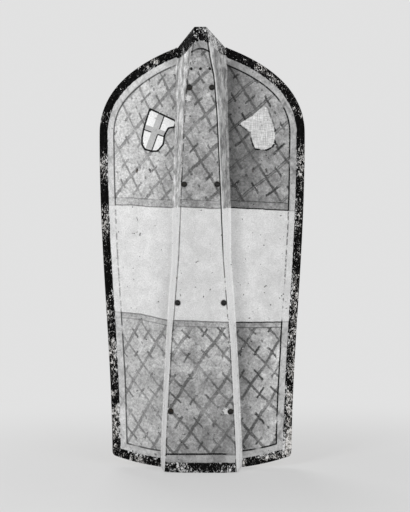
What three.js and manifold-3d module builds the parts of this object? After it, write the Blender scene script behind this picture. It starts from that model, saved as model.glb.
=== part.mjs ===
// A pavise: a tall infantry shield of glued planks with a hollow rib down the middle.
// Millimetres, +Z up. The painted front faces -Y and the bearer stands on the +Y side.
// Heights are first measured from the foot, and the finished group is then moved so that
// the origin lies in the middle of the flat back of the hand grip.

import * as THREE from 'three';
import { mergeVertices } from 'three/addons/utils/BufferGeometryUtils.js';
import Module from 'manifold-3d';

const wasm = await Module();
wasm.setup();

// Outline seen from the front
const halfWidth = 275;
const sideTaper = 36;
const cornerHalfWidth = halfWidth - sideTaper;
const cornerHeight = 30;
const cornerRound = 9;
const footFlatHalf = 40;
const sideFootLean = 4;
const sideFootPull = 320;
const sideTopPull = 333;
const archSidePull = 126;
const archTopPull = 98;
const archTopFall = 36;
const archHeight = 1117;
const archRise = 224;
const noseRise = 39;
const noseBackRise = 2;
const noseBackReach = 20;
const springHeight = archHeight - archRise;
const noseHeight = archHeight + noseRise;
const noseBackHeight = archHeight + noseBackRise;

// Plan: the panels are bowed back round this radius
const bowRadius = 820;
const boardThickness = 10;
const boardSeam = 172;

// Hollow rib
const ribFootFrontHalf = 94;
const ribFootBaseHalf = 106;
const ribDepth = 60;
const ribFrontThickness = 9;
const cheekThickness = 6;

// Skins and rim
const canvasThickness = 1.2;
const liningThickness = 1;
const rimThickness = 1.2;
const rimLip = 15;
const seatGap = 0.3;

// Nose block, crosspieces and their rivets. Their heights are shares of the nose's height.
const noseNailShare = 0.9083;
const noseRivetShare = 0.86678;
const upperRivetShare = 0.64965;
const lowerRivetShare = 0.38235;
const footRivetShare = 0.13754;
const noseRivetHeight = noseRivetShare * noseHeight;
const upperRivetHeight = upperRivetShare * noseHeight;
const lowerRivetHeight = lowerRivetShare * noseHeight;
const rivetInset = 9;
const rivetHeadRadius = 7.4;
const rivetHeadRise = 4.6;
const rivetShankRadius = 2.5;
const roveSide = 18;
const roveThickness = 2;
const peenRadius = 4.2;
const peenRise = 2.2;
const crosspieceDepth = 42;
const crosspieceHeight = 50;
const noseBlockDrop = 24;
const noseBlockFlare = 70;
const noseNailSpread = 24;
const noseNailLength = 44;
const noseNailRadius = 1.6;
const noseNailHeadRadius = 3.8;
const noseNailHeadRise = 2;

// Hand grip
const gripWidth = 30;
const gripThickness = 26;
const gripWaistWidth = 27;
const gripWaistThickness = 23;
const gripChamfer = 3;
const gripWaistChamfer = 7;
const gripTaperLength = 36;
const gripNailSpread = 12;
const gripNailLength = 50;
const gripNailRadius = 2;
const gripNailHeadRadius = 6;
const gripNailHeadRise = 2.6;

// Staples for the carrying strap, a little above the upper crosspiece
const stapleRise = 44;
const stapleHeight = upperRivetHeight + stapleRise;
const staplePlace = 155;
const stapleSpan = 34;
const stapleBend = 4;
const stapleWire = 2.5;
const stapleStand = 12;
const clenchLength = 9;

// Carrying strap and buckle
const strapWidth = 25;
const strapThickness = 2.6;
const strapTurnGap = 0.3;
const strapFoldLength = 44;
const longStrapLength = 560;
const longStrapPoint = 22;
const strapHoleRadius = 2.6;
const strapHolePitch = 34;
const strapHoleCount = 6;
const buckleStrapLength = 210;
const strapRivetDrop = 27;
const strapRivetRadius = 1.6;
const strapRivetHeadRadius = 4.4;
const strapRivetHeadRise = 1.6;
const buckleBarRadius = 2.5;
const buckleInnerWidth = 29;
const buckleSideWidth = 5;
const buckleDepth = 4.4;
const buckleDrop = 27;
const buckleCornerRound = 7;
const tongueWidth = 4.4;
const tongueEyeWall = 2.4;
const tongueThickness = 3;
const tongueSlotGap = 1.2;
const tongueSlotReach = 14;

// Counts of the facets
const sideSteps = 16;
const archSteps = 18;
const footSteps = 6;
const cornerSteps = 3;
const bowSteps = 24;
const roundSteps = 12;
const domeSteps = 4;
const wireSides = 8;
const wireSteps = 46;
const turnSteps = 12;

// The rib from foot to tip, as shares: of the nose's height, of the foot's half widths
// and of the rib's depth beside the grip
const ribHeightShares = [0, 0.095, 0.2855, 0.4845, 0.692, 0.8045, 0.891, 0.9343, 1];
const ribFrontShares = [1, 0.952, 0.83, 0.638, 0.53, 0.468, 0.383, 0.271, 0.144];
const ribBaseShares = [1, 0.962, 0.858, 0.708, 0.66, 0.627, 0.604, 0.594, 0.585];
const ribDepthShares = [1.133, 1.083, 1, 1, 1, 1.083, 1.217, 1.317, 1.5];

const overrun = 5;
const farBack = 60;
const farSide = 60;
const bowReach = Math.asin((halfWidth + farSide) / (bowRadius + farBack));

// Turns a closed geometry into a solid that can be cut, and back again
function toSolid(geometry) {
  const bare = geometry.clone();
  bare.deleteAttribute('normal');
  bare.deleteAttribute('uv');
  const merged = mergeVertices(bare);
  return new wasm.Manifold(new wasm.Mesh({
    numProp: 3,
    vertProperties: Float32Array.from(merged.attributes.position.array),
    triVerts: Uint32Array.from(merged.index.array),
  }));
}

function toGeometry(solid) {
  const mesh = solid.getMesh();
  const geometry = new THREE.BufferGeometry();
  geometry.setAttribute('position', new THREE.BufferAttribute(Float32Array.from(mesh.vertProperties), 3));
  geometry.setIndex(new THREE.BufferAttribute(Uint32Array.from(mesh.triVerts), 1));
  geometry.computeVertexNormals();
  return geometry;
}

// A round section of straight sides
function circlePoints(radius, count) {
  return Array.from({ length: count }, (_, index) => {
    const angle = (2 * Math.PI * index) / count;
    return new THREE.Vector2(radius * Math.cos(angle), radius * Math.sin(angle));
  });
}

// A flat outline in X and Z, carried along Y from low to high
function prismAlongY(points, low, high) {
  const geometry = new THREE.ExtrudeGeometry(new THREE.Shape(points), {
    depth: high - low,
    bevelEnabled: false,
  });
  geometry.rotateX(Math.PI / 2);
  geometry.translate(0, high, 0);
  return toSolid(geometry);
}

// A flat outline in Y and Z, carried along X and centred on it
function prismAlongX(points, width) {
  const geometry = new THREE.ExtrudeGeometry(new THREE.Shape(points), {
    depth: width,
    bevelEnabled: false,
  });
  geometry.applyMatrix4(new THREE.Matrix4().makeBasis(
    new THREE.Vector3(0, 1, 0),
    new THREE.Vector3(0, 0, 1),
    new THREE.Vector3(1, 0, 0),
  ));
  geometry.translate(-width / 2, 0, 0);
  return toSolid(geometry);
}

function box(low, high) {
  const geometry = new THREE.BoxGeometry(high[0] - low[0], high[1] - low[1], high[2] - low[2]);
  geometry.translate((high[0] + low[0]) / 2, (high[1] + low[1]) / 2, (high[2] + low[2]) / 2);
  return toSolid(geometry);
}

// A round bar along Y through (x, z)
function barAlongY(radius, x, z, low, high) {
  const geometry = new THREE.CylinderGeometry(radius, radius, high - low, roundSteps);
  geometry.translate(x, (high + low) / 2, z);
  return toSolid(geometry);
}

// A skin over rings of equal count, each ring a closed convex list of points. Each four-sided
// face is split so that the left side mirrors the right.
function loft(rings) {
  const count = rings[0].length;
  const positions = rings.flat().flatMap((point) => [point.x, point.y, point.z]);
  const faces = [];
  for (let ring = 0; ring < rings.length - 1; ring += 1) {
    for (let side = 0; side < count; side += 1) {
      const next = (side + 1) % count;
      const low = ring * count;
      const high = low + count;
      if (rings[ring][side].x + rings[ring][next].x > 0) {
        faces.push(low + side, low + next, high + next, low + side, high + next, high + side);
      } else {
        faces.push(low + side, low + next, high + side, low + next, high + next, high + side);
      }
    }
  }
  const top = (rings.length - 1) * count;
  for (let side = 1; side < count - 1; side += 1) {
    faces.push(0, side + 1, side);
    faces.push(top, top + side, top + side + 1);
  }
  const geometry = new THREE.BufferGeometry();
  geometry.setAttribute('position', new THREE.Float32BufferAttribute(positions, 3));
  geometry.setIndex(faces);
  return toSolid(geometry);
}

// Right half of the body's outline, from the foot to the arch beside the nose
function halfOutline(round) {
  const cornerStart = new THREE.Vector2(
    cornerHalfWidth - round,
    cornerHeight * (1 - (2 * round) / (cornerHalfWidth - footFlatHalf)),
  );
  const foot = new THREE.QuadraticBezierCurve(
    new THREE.Vector2(footFlatHalf, 0),
    new THREE.Vector2((footFlatHalf + cornerStart.x) / 2, 0),
    cornerStart,
  );
  const points = foot.getPoints(footSteps);
  if (round > 0) {
    const corner = new THREE.QuadraticBezierCurve(
      cornerStart,
      new THREE.Vector2(cornerHalfWidth, cornerHeight),
      new THREE.Vector2(cornerHalfWidth, cornerHeight + round),
    );
    points.push(...corner.getPoints(cornerSteps).slice(1));
  }
  const side = new THREE.CubicBezierCurve(
    new THREE.Vector2(cornerHalfWidth, cornerHeight + round),
    new THREE.Vector2(cornerHalfWidth + sideFootLean, cornerHeight + sideFootPull),
    new THREE.Vector2(halfWidth, springHeight - sideTopPull),
    new THREE.Vector2(halfWidth, springHeight),
  );
  points.push(...side.getPoints(sideSteps).slice(1));
  const arch = new THREE.CubicBezierCurve(
    new THREE.Vector2(halfWidth, springHeight),
    new THREE.Vector2(halfWidth, springHeight + archSidePull),
    new THREE.Vector2(archHalf + archTopPull, archHeight - archTopFall),
    new THREE.Vector2(archHalf, archHeight),
  );
  points.push(...arch.getPoints(archSteps).slice(1));
  return points;
}

// Whole outline, grown outwards by a distance. The top is the nose or a plain crown.
function outline(grow, top, round = cornerRound) {
  const right = halfOutline(round);
  right.push(...top);
  const left = right.filter((point) => point.x > 0).map((point) => new THREE.Vector2(-point.x, point.y));
  const ring = [...right, ...left.reverse()];
  if (grow === 0) {
    return ring;
  }
  return ring.map((point, index) => {
    const before = ring[(index + ring.length - 1) % ring.length];
    const after = ring[(index + 1) % ring.length];
    const inward = point.clone().sub(before).normalize();
    const outward = after.clone().sub(point).normalize();
    const normal = new THREE.Vector2(inward.y + outward.y, -inward.x - outward.x).normalize();
    const stretch = normal.dot(new THREE.Vector2(outward.y, -outward.x));
    return point.clone().addScaledVector(normal, grow / stretch);
  });
}

// Rib sizes at each station, and between stations
const ribStations = ribHeightShares.map((share, index) => ({
  height: share * noseHeight,
  front: ribFrontShares[index] * ribFootFrontHalf,
  base: ribBaseShares[index] * ribFootBaseHalf,
  depth: ribDepthShares[index] * ribDepth,
}));
const noseTipHalf = ribStations.at(-1).front;
const archHalf = ribStations.at(-1).base;

function ribAt(height) {
  const above = Math.max(1, ribStations.findIndex((station) => station.height >= height));
  const low = ribStations[above - 1];
  const high = ribStations[above];
  const share = (height - low.height) / (high.height - low.height);
  return {
    front: low.front + share * (high.front - low.front),
    base: low.base + share * (high.base - low.base),
    depth: low.depth + share * (high.depth - low.depth),
    lean: Math.atan2(high.depth - low.depth, high.height - low.height),
  };
}

// Front face of the panels at a distance from the middle, and their back face
function panelFront(x) {
  return bowRadius - Math.sqrt(bowRadius ** 2 - x ** 2);
}

function panelBack(x) {
  return bowRadius - Math.sqrt((bowRadius - boardThickness) ** 2 - x ** 2);
}

// Half width of the rib's outside, moved outwards by grow, where it is y deep
function ribHalfAt(station, grow, y) {
  const run = station.base - station.front;
  const rise = station.depth + panelFront(station.base);
  const slant = Math.hypot(run, rise);
  return station.front + ((y + station.depth) * run) / rise + (grow * slant) / rise;
}

// Solid inside the rib's outside: grow moves the sides, front moves the front face
function ribBlock(grow, front, back = farBack) {
  return loft(ribSections(grow, front, () => back));
}

function ribSections(grow, front, backAt) {
  const ends = [
    { ...ribStations[0], height: -overrun },
    ...ribStations.slice(1, -1),
    { ...ribStations.at(-1), height: noseHeight + overrun },
  ];
  return ends.map((station) => {
    const y = -station.depth - front;
    const back = backAt(station);
    const near = ribHalfAt(station, grow, y);
    const far = ribHalfAt(station, grow, back);
    return [
      new THREE.Vector3(-near, y, station.height),
      new THREE.Vector3(near, y, station.height),
      new THREE.Vector3(far, back, station.height),
      new THREE.Vector3(-far, back, station.height),
    ];
  });
}

// Bowed slab between two radii round the bow's centre, from one angle to another
function bowSlab(outer, inner, from = -bowReach, to = bowReach) {
  const points = [];
  const steps = Math.max(2, Math.round((bowSteps * (to - from)) / (2 * bowReach)));
  for (let step = 0; step <= steps; step += 1) {
    const angle = from + ((to - from) * step) / steps;
    points.push(new THREE.Vector2(outer * Math.sin(angle), bowRadius - outer * Math.cos(angle)));
  }
  for (let step = steps; step >= 0; step -= 1) {
    const angle = from + ((to - from) * step) / steps;
    points.push(new THREE.Vector2(inner * Math.sin(angle), bowRadius - inner * Math.cos(angle)));
  }
  const geometry = new THREE.ExtrudeGeometry(new THREE.Shape(points), {
    depth: noseHeight + 2 * overrun,
    bevelEnabled: false,
  });
  geometry.translate(0, 0, -overrun);
  return toSolid(geometry);
}

// Everything behind the panels' back face
function behindBoards(offset) {
  return bowSlab(bowRadius - boardThickness - offset, bowRadius - farBack - farSide);
}

// Outlines used to trim the pieces
const crown = [new THREE.Vector2(0, archHeight + archHalf * (archTopFall / archTopPull))];
const noseTip = [new THREE.Vector2(noseTipHalf, noseHeight), new THREE.Vector2(0, noseHeight)];
const deepest = -ribStations.at(-1).depth;
const bodyTrim = prismAlongY(outline(0, noseTip), deepest - farSide, farBack + farSide);
const noseSlope = (noseHeight - noseBackHeight) / (noseBackReach - deepest);
const noseRoof = prismAlongX([
  new THREE.Vector2(deepest - farSide, noseHeight + farSide * noseSlope),
  new THREE.Vector2(deepest, noseHeight),
  new THREE.Vector2(noseBackReach, noseBackHeight),
  new THREE.Vector2(farBack + farSide, noseBackHeight),
  new THREE.Vector2(farBack + farSide, 2 * noseHeight),
  new THREE.Vector2(deepest - farSide, 2 * noseHeight),
], 2 * (halfWidth + farSide));
const trim = bodyTrim.subtract(noseRoof);

// Materials
const limeWood = new THREE.MeshStandardMaterial({ color: 0x8f8a82, roughness: 0.82, metalness: 0 });
const paintedCanvas = new THREE.MeshStandardMaterial({ color: 0xa9a9a7, roughness: 0.78, metalness: 0 });
const lining = new THREE.MeshStandardMaterial({ color: 0x9a948a, roughness: 0.8, metalness: 0 });
const rawhide = new THREE.MeshStandardMaterial({ color: 0x1c1b1a, roughness: 0.6, metalness: 0 });
const gripWood = new THREE.MeshStandardMaterial({ color: 0x6b645b, roughness: 0.6, metalness: 0 });
const iron = new THREE.MeshStandardMaterial({ color: 0x1a1a1b, roughness: 0.5, metalness: 0.8 });
const leather = new THREE.MeshStandardMaterial({ color: 0x3b3531, roughness: 0.62, metalness: 0 });

const shield = new THREE.Group();

function addSolid(name, solid, material, parent = shield) {
  const mesh = new THREE.Mesh(toGeometry(solid), material.clone());
  mesh.name = name;
  parent.add(mesh);
  return mesh;
}

function addGeometry(name, geometry, material, parent = shield) {
  const mesh = new THREE.Mesh(geometry, material.clone());
  mesh.name = name;
  parent.add(mesh);
  return mesh;
}

// Rivets and nails: each place is a frame on the rib's front face, its local Y pointing inwards
function frontFrame(x, height) {
  const { depth, lean } = ribAt(height);
  return new THREE.Matrix4()
    .makeRotationX(lean)
    .setPosition(x, -depth, height);
}

function drill(solid, frame, radius, low, high) {
  const geometry = new THREE.CylinderGeometry(radius, radius, high - low, roundSteps);
  geometry.translate(0, (high + low) / 2, 0);
  geometry.applyMatrix4(frame);
  return solid.subtract(toSolid(geometry));
}

const canvasFace = seatGap + canvasThickness;
const blockFront = ribFrontThickness + seatGap;
const blockBack = blockFront + crosspieceDepth;
const footRivetHeight = footRivetShare * noseHeight;
const noseNailHeight = noseNailShare * noseHeight;
const rivetHeights = {
  nose: noseRivetHeight,
  upper: upperRivetHeight,
  lower: lowerRivetHeight,
  foot: footRivetHeight,
};
const sides = { left: -1, right: 1 };
const rivetPlaces = Object.entries(rivetHeights).flatMap(([level, height]) => (
  Object.entries(sides).map(([side, sign]) => ({
    name: `${level}_${side}`,
    frame: frontFrame(sign * (ribAt(height).front - rivetInset), height),
  }))
));
const noseNailPlaces = [
  { name: 'left', frame: frontFrame(-noseNailSpread, noseNailHeight) },
  { name: 'middle', frame: frontFrame(0, noseNailHeight) },
  { name: 'right', frame: frontFrame(noseNailSpread, noseNailHeight) },
];

// Holes for the rivets and nails of the rib, drilled from the front
function drillRib(solid) {
  const before = -canvasFace - overrun;
  let drilled = solid;
  for (const { frame } of rivetPlaces) {
    drilled = drill(drilled, frame, rivetShankRadius + seatGap, before, blockBack + overrun);
  }
  for (const { frame } of noseNailPlaces) {
    drilled = drill(drilled, frame, noseNailRadius + seatGap, before, noseNailLength + seatGap);
  }
  return drilled;
}

// Staple legs go through the lining, the board and the canvas
function drillStaples(solid) {
  let drilled = solid;
  for (const sign of Object.values(sides)) {
    for (const leg of Object.values(sides)) {
      const x = sign * staplePlace + (leg * stapleSpan) / 2;
      const hole = barAlongY(stapleWire + seatGap, x, stapleHeight, -overrun, panelBack(x) + farSide);
      drilled = drilled.subtract(hole);
    }
  }
  return drilled;
}

// Halves of space, for pieces that are made in pairs
const wide = halfWidth + farSide;
const leftHalf = box([-wide, -wide, -noseHeight], [0, wide, 2 * noseHeight]);
const rightHalf = box([0, -wide, -noseHeight], [wide, wide, 2 * noseHeight]);
const halves = { left: leftHalf, right: rightHalf };

// Panels: two planks each side of the rib, glued edge to edge
const ribSeat = ribBlock(seatGap, seatGap);
const seamAngle = Math.asin(boardSeam / bowRadius);
const halfGapAngle = seatGap / 2 / bowRadius;
const boardRuns = {
  left_outer_board: [-bowReach, -seamAngle - halfGapAngle],
  left_inner_board: [-seamAngle + halfGapAngle, 0],
  right_inner_board: [0, seamAngle - halfGapAngle],
  right_outer_board: [seamAngle + halfGapAngle, bowReach],
};
for (const [name, [from, to]] of Object.entries(boardRuns)) {
  const slab = bowSlab(bowRadius, bowRadius - boardThickness, from, to);
  addSolid(name, drillStaples(slab.intersect(trim).subtract(ribSeat)), limeWood);
}

// Rib: a front board over two splayed cheeks
const behindFrontBoard = ribBlock(overrun, -ribFrontThickness);
const frontBoard = ribBlock(0, 0).subtract(behindFrontBoard).intersect(trim);
addSolid('rib_front_board', drillRib(frontBoard), limeWood);

const channel = ribBlock(-cheekThickness, overrun);
const cheeks = ribBlock(0, -blockFront)
  .subtract(channel)
  .subtract(behindBoards(0))
  .intersect(trim);
for (const [side, half] of Object.entries(halves)) {
  addSolid(`rib_${side}_cheek`, cheeks.intersect(half), limeWood);
}

// Filling of the rib: the carved nose block and three crosspieces
const filling = ribBlock(-cheekThickness - seatGap, -blockFront);

// Section in Y and Z from distances behind the rib's front face and along it
function sectionAt(height, points) {
  const { depth, lean } = ribAt(height);
  return points.map(([inwards, up]) => new THREE.Vector2(
    -depth + inwards * Math.cos(lean) - up * Math.sin(lean),
    height + inwards * Math.sin(lean) + up * Math.cos(lean),
  ));
}

const noseProfile = [
  ...sectionAt(noseRivetHeight, [
    [-farSide, -noseBlockDrop],
    [blockBack, -noseBlockDrop],
    [blockBack, noseBlockDrop],
  ]),
  new THREE.Vector2(boardThickness, noseRivetHeight + noseBlockDrop + noseBlockFlare),
  new THREE.Vector2(boardThickness, 2 * noseHeight),
  new THREE.Vector2(deepest - farSide, 2 * noseHeight),
];
const noseBlock = filling.intersect(prismAlongX(noseProfile, 2 * wide)).intersect(trim);
addSolid('nose_block', drillRib(noseBlock), limeWood);

const gripFront = -ribDepth + blockBack + seatGap;
const gripBack = gripFront + gripThickness;
const gripNailPlaces = [upperRivetHeight, lowerRivetHeight].flatMap((height) => (
  [-gripNailSpread, gripNailSpread].map((up) => height + up)
));

function drillGrip(solid) {
  let drilled = solid;
  for (const height of gripNailPlaces) {
    const low = gripBack - gripNailLength - seatGap;
    drilled = drilled.subtract(barAlongY(gripNailRadius + seatGap, 0, height, low, gripBack + overrun));
  }
  return drilled;
}

const crosspieces = {
  upper_crosspiece: upperRivetHeight,
  lower_crosspiece: lowerRivetHeight,
  foot_crosspiece: footRivetHeight,
};
for (const [name, height] of Object.entries(crosspieces)) {
  const profile = sectionAt(height, [
    [-farSide, -crosspieceHeight / 2],
    [blockBack, -crosspieceHeight / 2],
    [blockBack, crosspieceHeight / 2],
    [-farSide, crosspieceHeight / 2],
  ]);
  const block = filling.intersect(prismAlongX(profile, 2 * wide));
  addSolid(name, drillGrip(drillRib(block)), limeWood);
}

// Canvas over the whole front, turned off at the edge
const canvasOutside = bowSlab(bowRadius + canvasFace, bowRadius - farBack)
  .add(ribBlock(canvasFace, canvasFace));
const canvasInside = bowSlab(bowRadius + seatGap, bowRadius - farBack - overrun)
  .add(ribBlock(seatGap, seatGap, farBack + overrun));
const canvas = canvasOutside.subtract(canvasInside).intersect(trim);
addSolid('front_canvas', drillStaples(drillRib(canvas)), paintedCanvas);

// Lining over the back of the panels and the cheeks' ends
const liningFront = bowRadius - boardThickness - seatGap;
const liningBack = liningFront - liningThickness;
const linings = bowSlab(liningFront, liningBack).subtract(channel).intersect(trim);
for (const [side, half] of Object.entries(halves)) {
  addSolid(`${side}_back_lining`, drillStaples(linings.intersect(half)), lining);
}

// Rim: rawhide strips folded over the edge, in one length up each side and one under each foot
const rimFront = bowRadius + canvasFace + seatGap;
const rimBack = liningBack - seatGap;
const rimOutside = bowSlab(rimFront + rimThickness, rimBack - rimThickness)
  .intersect(prismAlongY(outline(seatGap + rimThickness, crown), -wide, wide));
const rimInside = bowSlab(rimFront, rimBack)
  .intersect(prismAlongY(outline(seatGap, crown), -wide, wide));
const rimWindow = prismAlongY(outline(-rimLip, crown, 0), -wide, wide);
const rimEnd = ribBlock(canvasFace + seatGap, canvasFace + seatGap);
const rim = rimOutside.subtract(rimInside).subtract(rimWindow).subtract(rimEnd);

// Room under the body for the strips of the foot, and the same with a gap round it
function footRoom(gap) {
  const reach = cornerHalfWidth - rimLip - cornerRound + gap;
  return box([-reach, -wide, -noseHeight], [reach, wide, cornerHeight + rimLip + gap]);
}

const footRun = footRoom(0);
const footSeat = footRoom(seatGap);
for (const [side, half] of Object.entries(halves)) {
  addSolid(`${side}_edge_rim`, rim.subtract(footSeat).intersect(half), rawhide);
  addSolid(`${side}_foot_rim`, rim.intersect(footRun).intersect(half), rawhide);
}

// Domed head with a shank, turned round Y: the seat is at y = 0 and the shank runs to +Y
function domePoints(headRadius, headRise) {
  const points = [];
  for (let step = 0; step <= domeSteps; step += 1) {
    const angle = (step * Math.PI) / 2 / domeSteps;
    points.push(new THREE.Vector2(headRadius * Math.sin(angle), -headRise * Math.cos(angle)));
  }
  return points;
}

function turned(points) {
  return new THREE.LatheGeometry(points, roundSteps);
}

// Rivets: dome in front, and the end spread over the rove behind
const roveFront = blockBack + seatGap;
const peenFront = roveFront + roveThickness + seatGap;
const headSeat = -canvasFace - seatGap;
for (const { name, frame } of rivetPlaces) {
  const points = domePoints(rivetHeadRadius, rivetHeadRise).map((point) => (
    new THREE.Vector2(point.x, point.y + headSeat)
  ));
  points.push(
    new THREE.Vector2(rivetShankRadius, headSeat),
    new THREE.Vector2(rivetShankRadius, peenFront),
    new THREE.Vector2(peenRadius, peenFront),
    new THREE.Vector2(peenRadius, peenFront + peenRise / 2),
    new THREE.Vector2(rivetShankRadius, peenFront + peenRise),
    new THREE.Vector2(0, peenFront + peenRise),
  );
  addGeometry(`rib_rivet_${name}`, turned(points), iron).applyMatrix4(frame);

  const square = new THREE.Shape([
    new THREE.Vector2(-roveSide / 2, -roveSide / 2),
    new THREE.Vector2(roveSide / 2, -roveSide / 2),
    new THREE.Vector2(roveSide / 2, roveSide / 2),
    new THREE.Vector2(-roveSide / 2, roveSide / 2),
  ]);
  square.holes.push(new THREE.Path(circlePoints(rivetShankRadius + seatGap, roundSteps)));
  const rove = new THREE.ExtrudeGeometry(square, {
    depth: roveThickness,
    bevelEnabled: false,
  });
  rove.rotateX(Math.PI / 2);
  rove.translate(0, roveFront + roveThickness, 0);
  addGeometry(`rib_rove_${name}`, rove, iron).applyMatrix4(frame);
}

// Nails, pointed at the far end
function nail(headRadius, headRise, shankRadius, length) {
  return turned([
    ...domePoints(headRadius, headRise),
    new THREE.Vector2(shankRadius, 0),
    new THREE.Vector2(shankRadius, length - headRadius),
    new THREE.Vector2(0, length),
  ]);
}

for (const { name, frame } of noseNailPlaces) {
  const geometry = nail(noseNailHeadRadius, noseNailHeadRise, noseNailRadius, noseNailLength);
  geometry.translate(0, headSeat, 0);
  addGeometry(`nose_nail_${name}`, geometry, iron).applyMatrix4(frame);
}

// Upright hand grip: square where it is nailed to the crosspieces, slimmer in the hand
const gripHeight = (upperRivetHeight + lowerRivetHeight) / 2;
const gripLow = lowerRivetHeight - crosspieceHeight / 2;
const gripHigh = upperRivetHeight + crosspieceHeight / 2;
const gripEnd = { width: gripWidth, thickness: gripThickness, chamfer: gripChamfer };
const gripWaist = { width: gripWaistWidth, thickness: gripWaistThickness, chamfer: gripWaistChamfer };

function gripRing(height, { width, thickness, chamfer }) {
  const side = width / 2;
  const front = gripBack - thickness;
  return [
    [-side + chamfer, front],
    [side - chamfer, front],
    [side, front + chamfer],
    [side, gripBack - chamfer],
    [side - chamfer, gripBack],
    [-side + chamfer, gripBack],
    [-side, gripBack - chamfer],
    [-side, front + chamfer],
  ].map(([x, y]) => new THREE.Vector3(x, y, height));
}

const gripBar = loft([
  gripRing(gripLow, gripEnd),
  gripRing(gripLow + crosspieceHeight, gripEnd),
  gripRing(gripLow + crosspieceHeight + gripTaperLength, gripWaist),
  gripRing(gripHigh - crosspieceHeight - gripTaperLength, gripWaist),
  gripRing(gripHigh - crosspieceHeight, gripEnd),
  gripRing(gripHigh, gripEnd),
]);
addSolid('grip_bar', drillGrip(gripBar), gripWood);

gripNailPlaces.forEach((height, index) => {
  const geometry = nail(gripNailHeadRadius, gripNailHeadRise, gripNailRadius, gripNailLength);
  geometry.rotateX(Math.PI);
  const mesh = addGeometry(`grip_nail_${index + 1}`, geometry, iron);
  mesh.position.set(0, gripBack + seatGap, height);
});

// Staples: driven from the back, the legs' ends bent down over the canvas
function canvasAt(x) {
  return bowRadius - Math.sqrt((bowRadius + canvasFace) ** 2 - x ** 2);
}

function liningAt(x) {
  return bowRadius - Math.sqrt(liningBack ** 2 - x ** 2);
}

const crownY = liningAt(staplePlace) + stapleStand;

function staplePath(place) {
  const path = new THREE.CurvePath();
  const ends = [-stapleSpan / 2, stapleSpan / 2].map((offset) => {
    const x = place + offset;
    const tilt = Math.asin(Math.abs(x) / (bowRadius + canvasFace));
    return { x, y: canvasAt(x) - (stapleWire + seatGap) / Math.cos(tilt) };
  });
  const [near, far] = ends;
  const corner = (from, through, to) => path.add(new THREE.QuadraticBezierCurve3(from, through, to));
  const line = (from, to) => path.add(new THREE.LineCurve3(from, to));
  const at = (x, y, z) => new THREE.Vector3(x, y, z);
  const tip = stapleHeight - clenchLength;
  const bend = stapleHeight - stapleBend;
  line(at(near.x, near.y, tip), at(near.x, near.y, bend));
  corner(
    at(near.x, near.y, bend),
    at(near.x, near.y, stapleHeight),
    at(near.x, near.y + stapleBend, stapleHeight),
  );
  line(at(near.x, near.y + stapleBend, stapleHeight), at(near.x, crownY - stapleBend, stapleHeight));
  corner(
    at(near.x, crownY - stapleBend, stapleHeight),
    at(near.x, crownY, stapleHeight),
    at(near.x + stapleBend, crownY, stapleHeight),
  );
  line(at(near.x + stapleBend, crownY, stapleHeight), at(far.x - stapleBend, crownY, stapleHeight));
  corner(
    at(far.x - stapleBend, crownY, stapleHeight),
    at(far.x, crownY, stapleHeight),
    at(far.x, crownY - stapleBend, stapleHeight),
  );
  line(at(far.x, crownY - stapleBend, stapleHeight), at(far.x, far.y + stapleBend, stapleHeight));
  corner(
    at(far.x, far.y + stapleBend, stapleHeight),
    at(far.x, far.y, stapleHeight),
    at(far.x, far.y, bend),
  );
  line(at(far.x, far.y, bend), at(far.x, far.y, tip));
  return path;
}

const wireSection = new THREE.Shape(circlePoints(stapleWire, wireSides));
for (const [side, sign] of Object.entries(sides)) {
  const wire = new THREE.ExtrudeGeometry(wireSection, {
    steps: wireSteps,
    extrudePath: staplePath(sign * staplePlace),
  });
  addGeometry(`${side}_staple`, wire, iron);
}

// Carrying strap. Both lengths hang from the crowns of the staples, folded round them and
// riveted. Each profile lies in Y and Z round the crown, and the width runs along X.
const layerOffset = (strapThickness + strapTurnGap) / 2;

// Half turn of strap round a bar, from one pinched layer to the other. Up is 1 over a staple.
function turn(barRadius, centreZ, up) {
  const radius = barRadius + strapTurnGap + strapThickness / 2;
  const pinch = new THREE.Vector2(layerOffset, -4 * radius);
  const reach = pinch.length();
  const start = Math.atan2(pinch.y, pinch.x) + Math.acos(radius / reach);
  const points = [new THREE.Vector2(-layerOffset, centreZ - up * 4 * radius)];
  for (let step = 0; step <= turnSteps; step += 1) {
    const angle = Math.PI - start + ((2 * start - Math.PI) * step) / turnSteps;
    points.push(new THREE.Vector2(radius * Math.cos(angle), centreZ + up * radius * Math.sin(angle)));
  }
  points.push(new THREE.Vector2(layerOffset, centreZ - up * 4 * radius));
  return points;
}

// Closed outline of a strap of even thickness along a path
function stripOutline(path) {
  const sidesOf = (index) => {
    const before = path[Math.max(index - 1, 0)];
    const after = path[Math.min(index + 1, path.length - 1)];
    const here = path[index];
    const inward = here.clone().sub(before);
    const outward = after.clone().sub(here);
    const first = (inward.length() > 0 ? inward : outward).clone().normalize();
    const second = (outward.length() > 0 ? outward : inward).clone().normalize();
    const normal = new THREE.Vector2(-first.y - second.y, first.x + second.x).normalize();
    const stretch = normal.dot(new THREE.Vector2(-second.y, second.x));
    return normal.multiplyScalar(strapThickness / 2 / stretch);
  };
  const oneSide = path.map((point, index) => point.clone().add(sidesOf(index)));
  const otherSide = path.map((point, index) => point.clone().sub(sidesOf(index)));
  return [...oneSide, ...otherSide.reverse()];
}

function strapBody(path) {
  const strip = prismAlongX(stripOutline(path), strapWidth);
  return barAlongYHole(strip, strapRivetRadius, 0, -strapRivetDrop);
}

function barAlongYHole(solid, radius, x, z) {
  return solid.subtract(barAlongY(radius + seatGap, x, z, -farSide, farSide));
}

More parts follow.
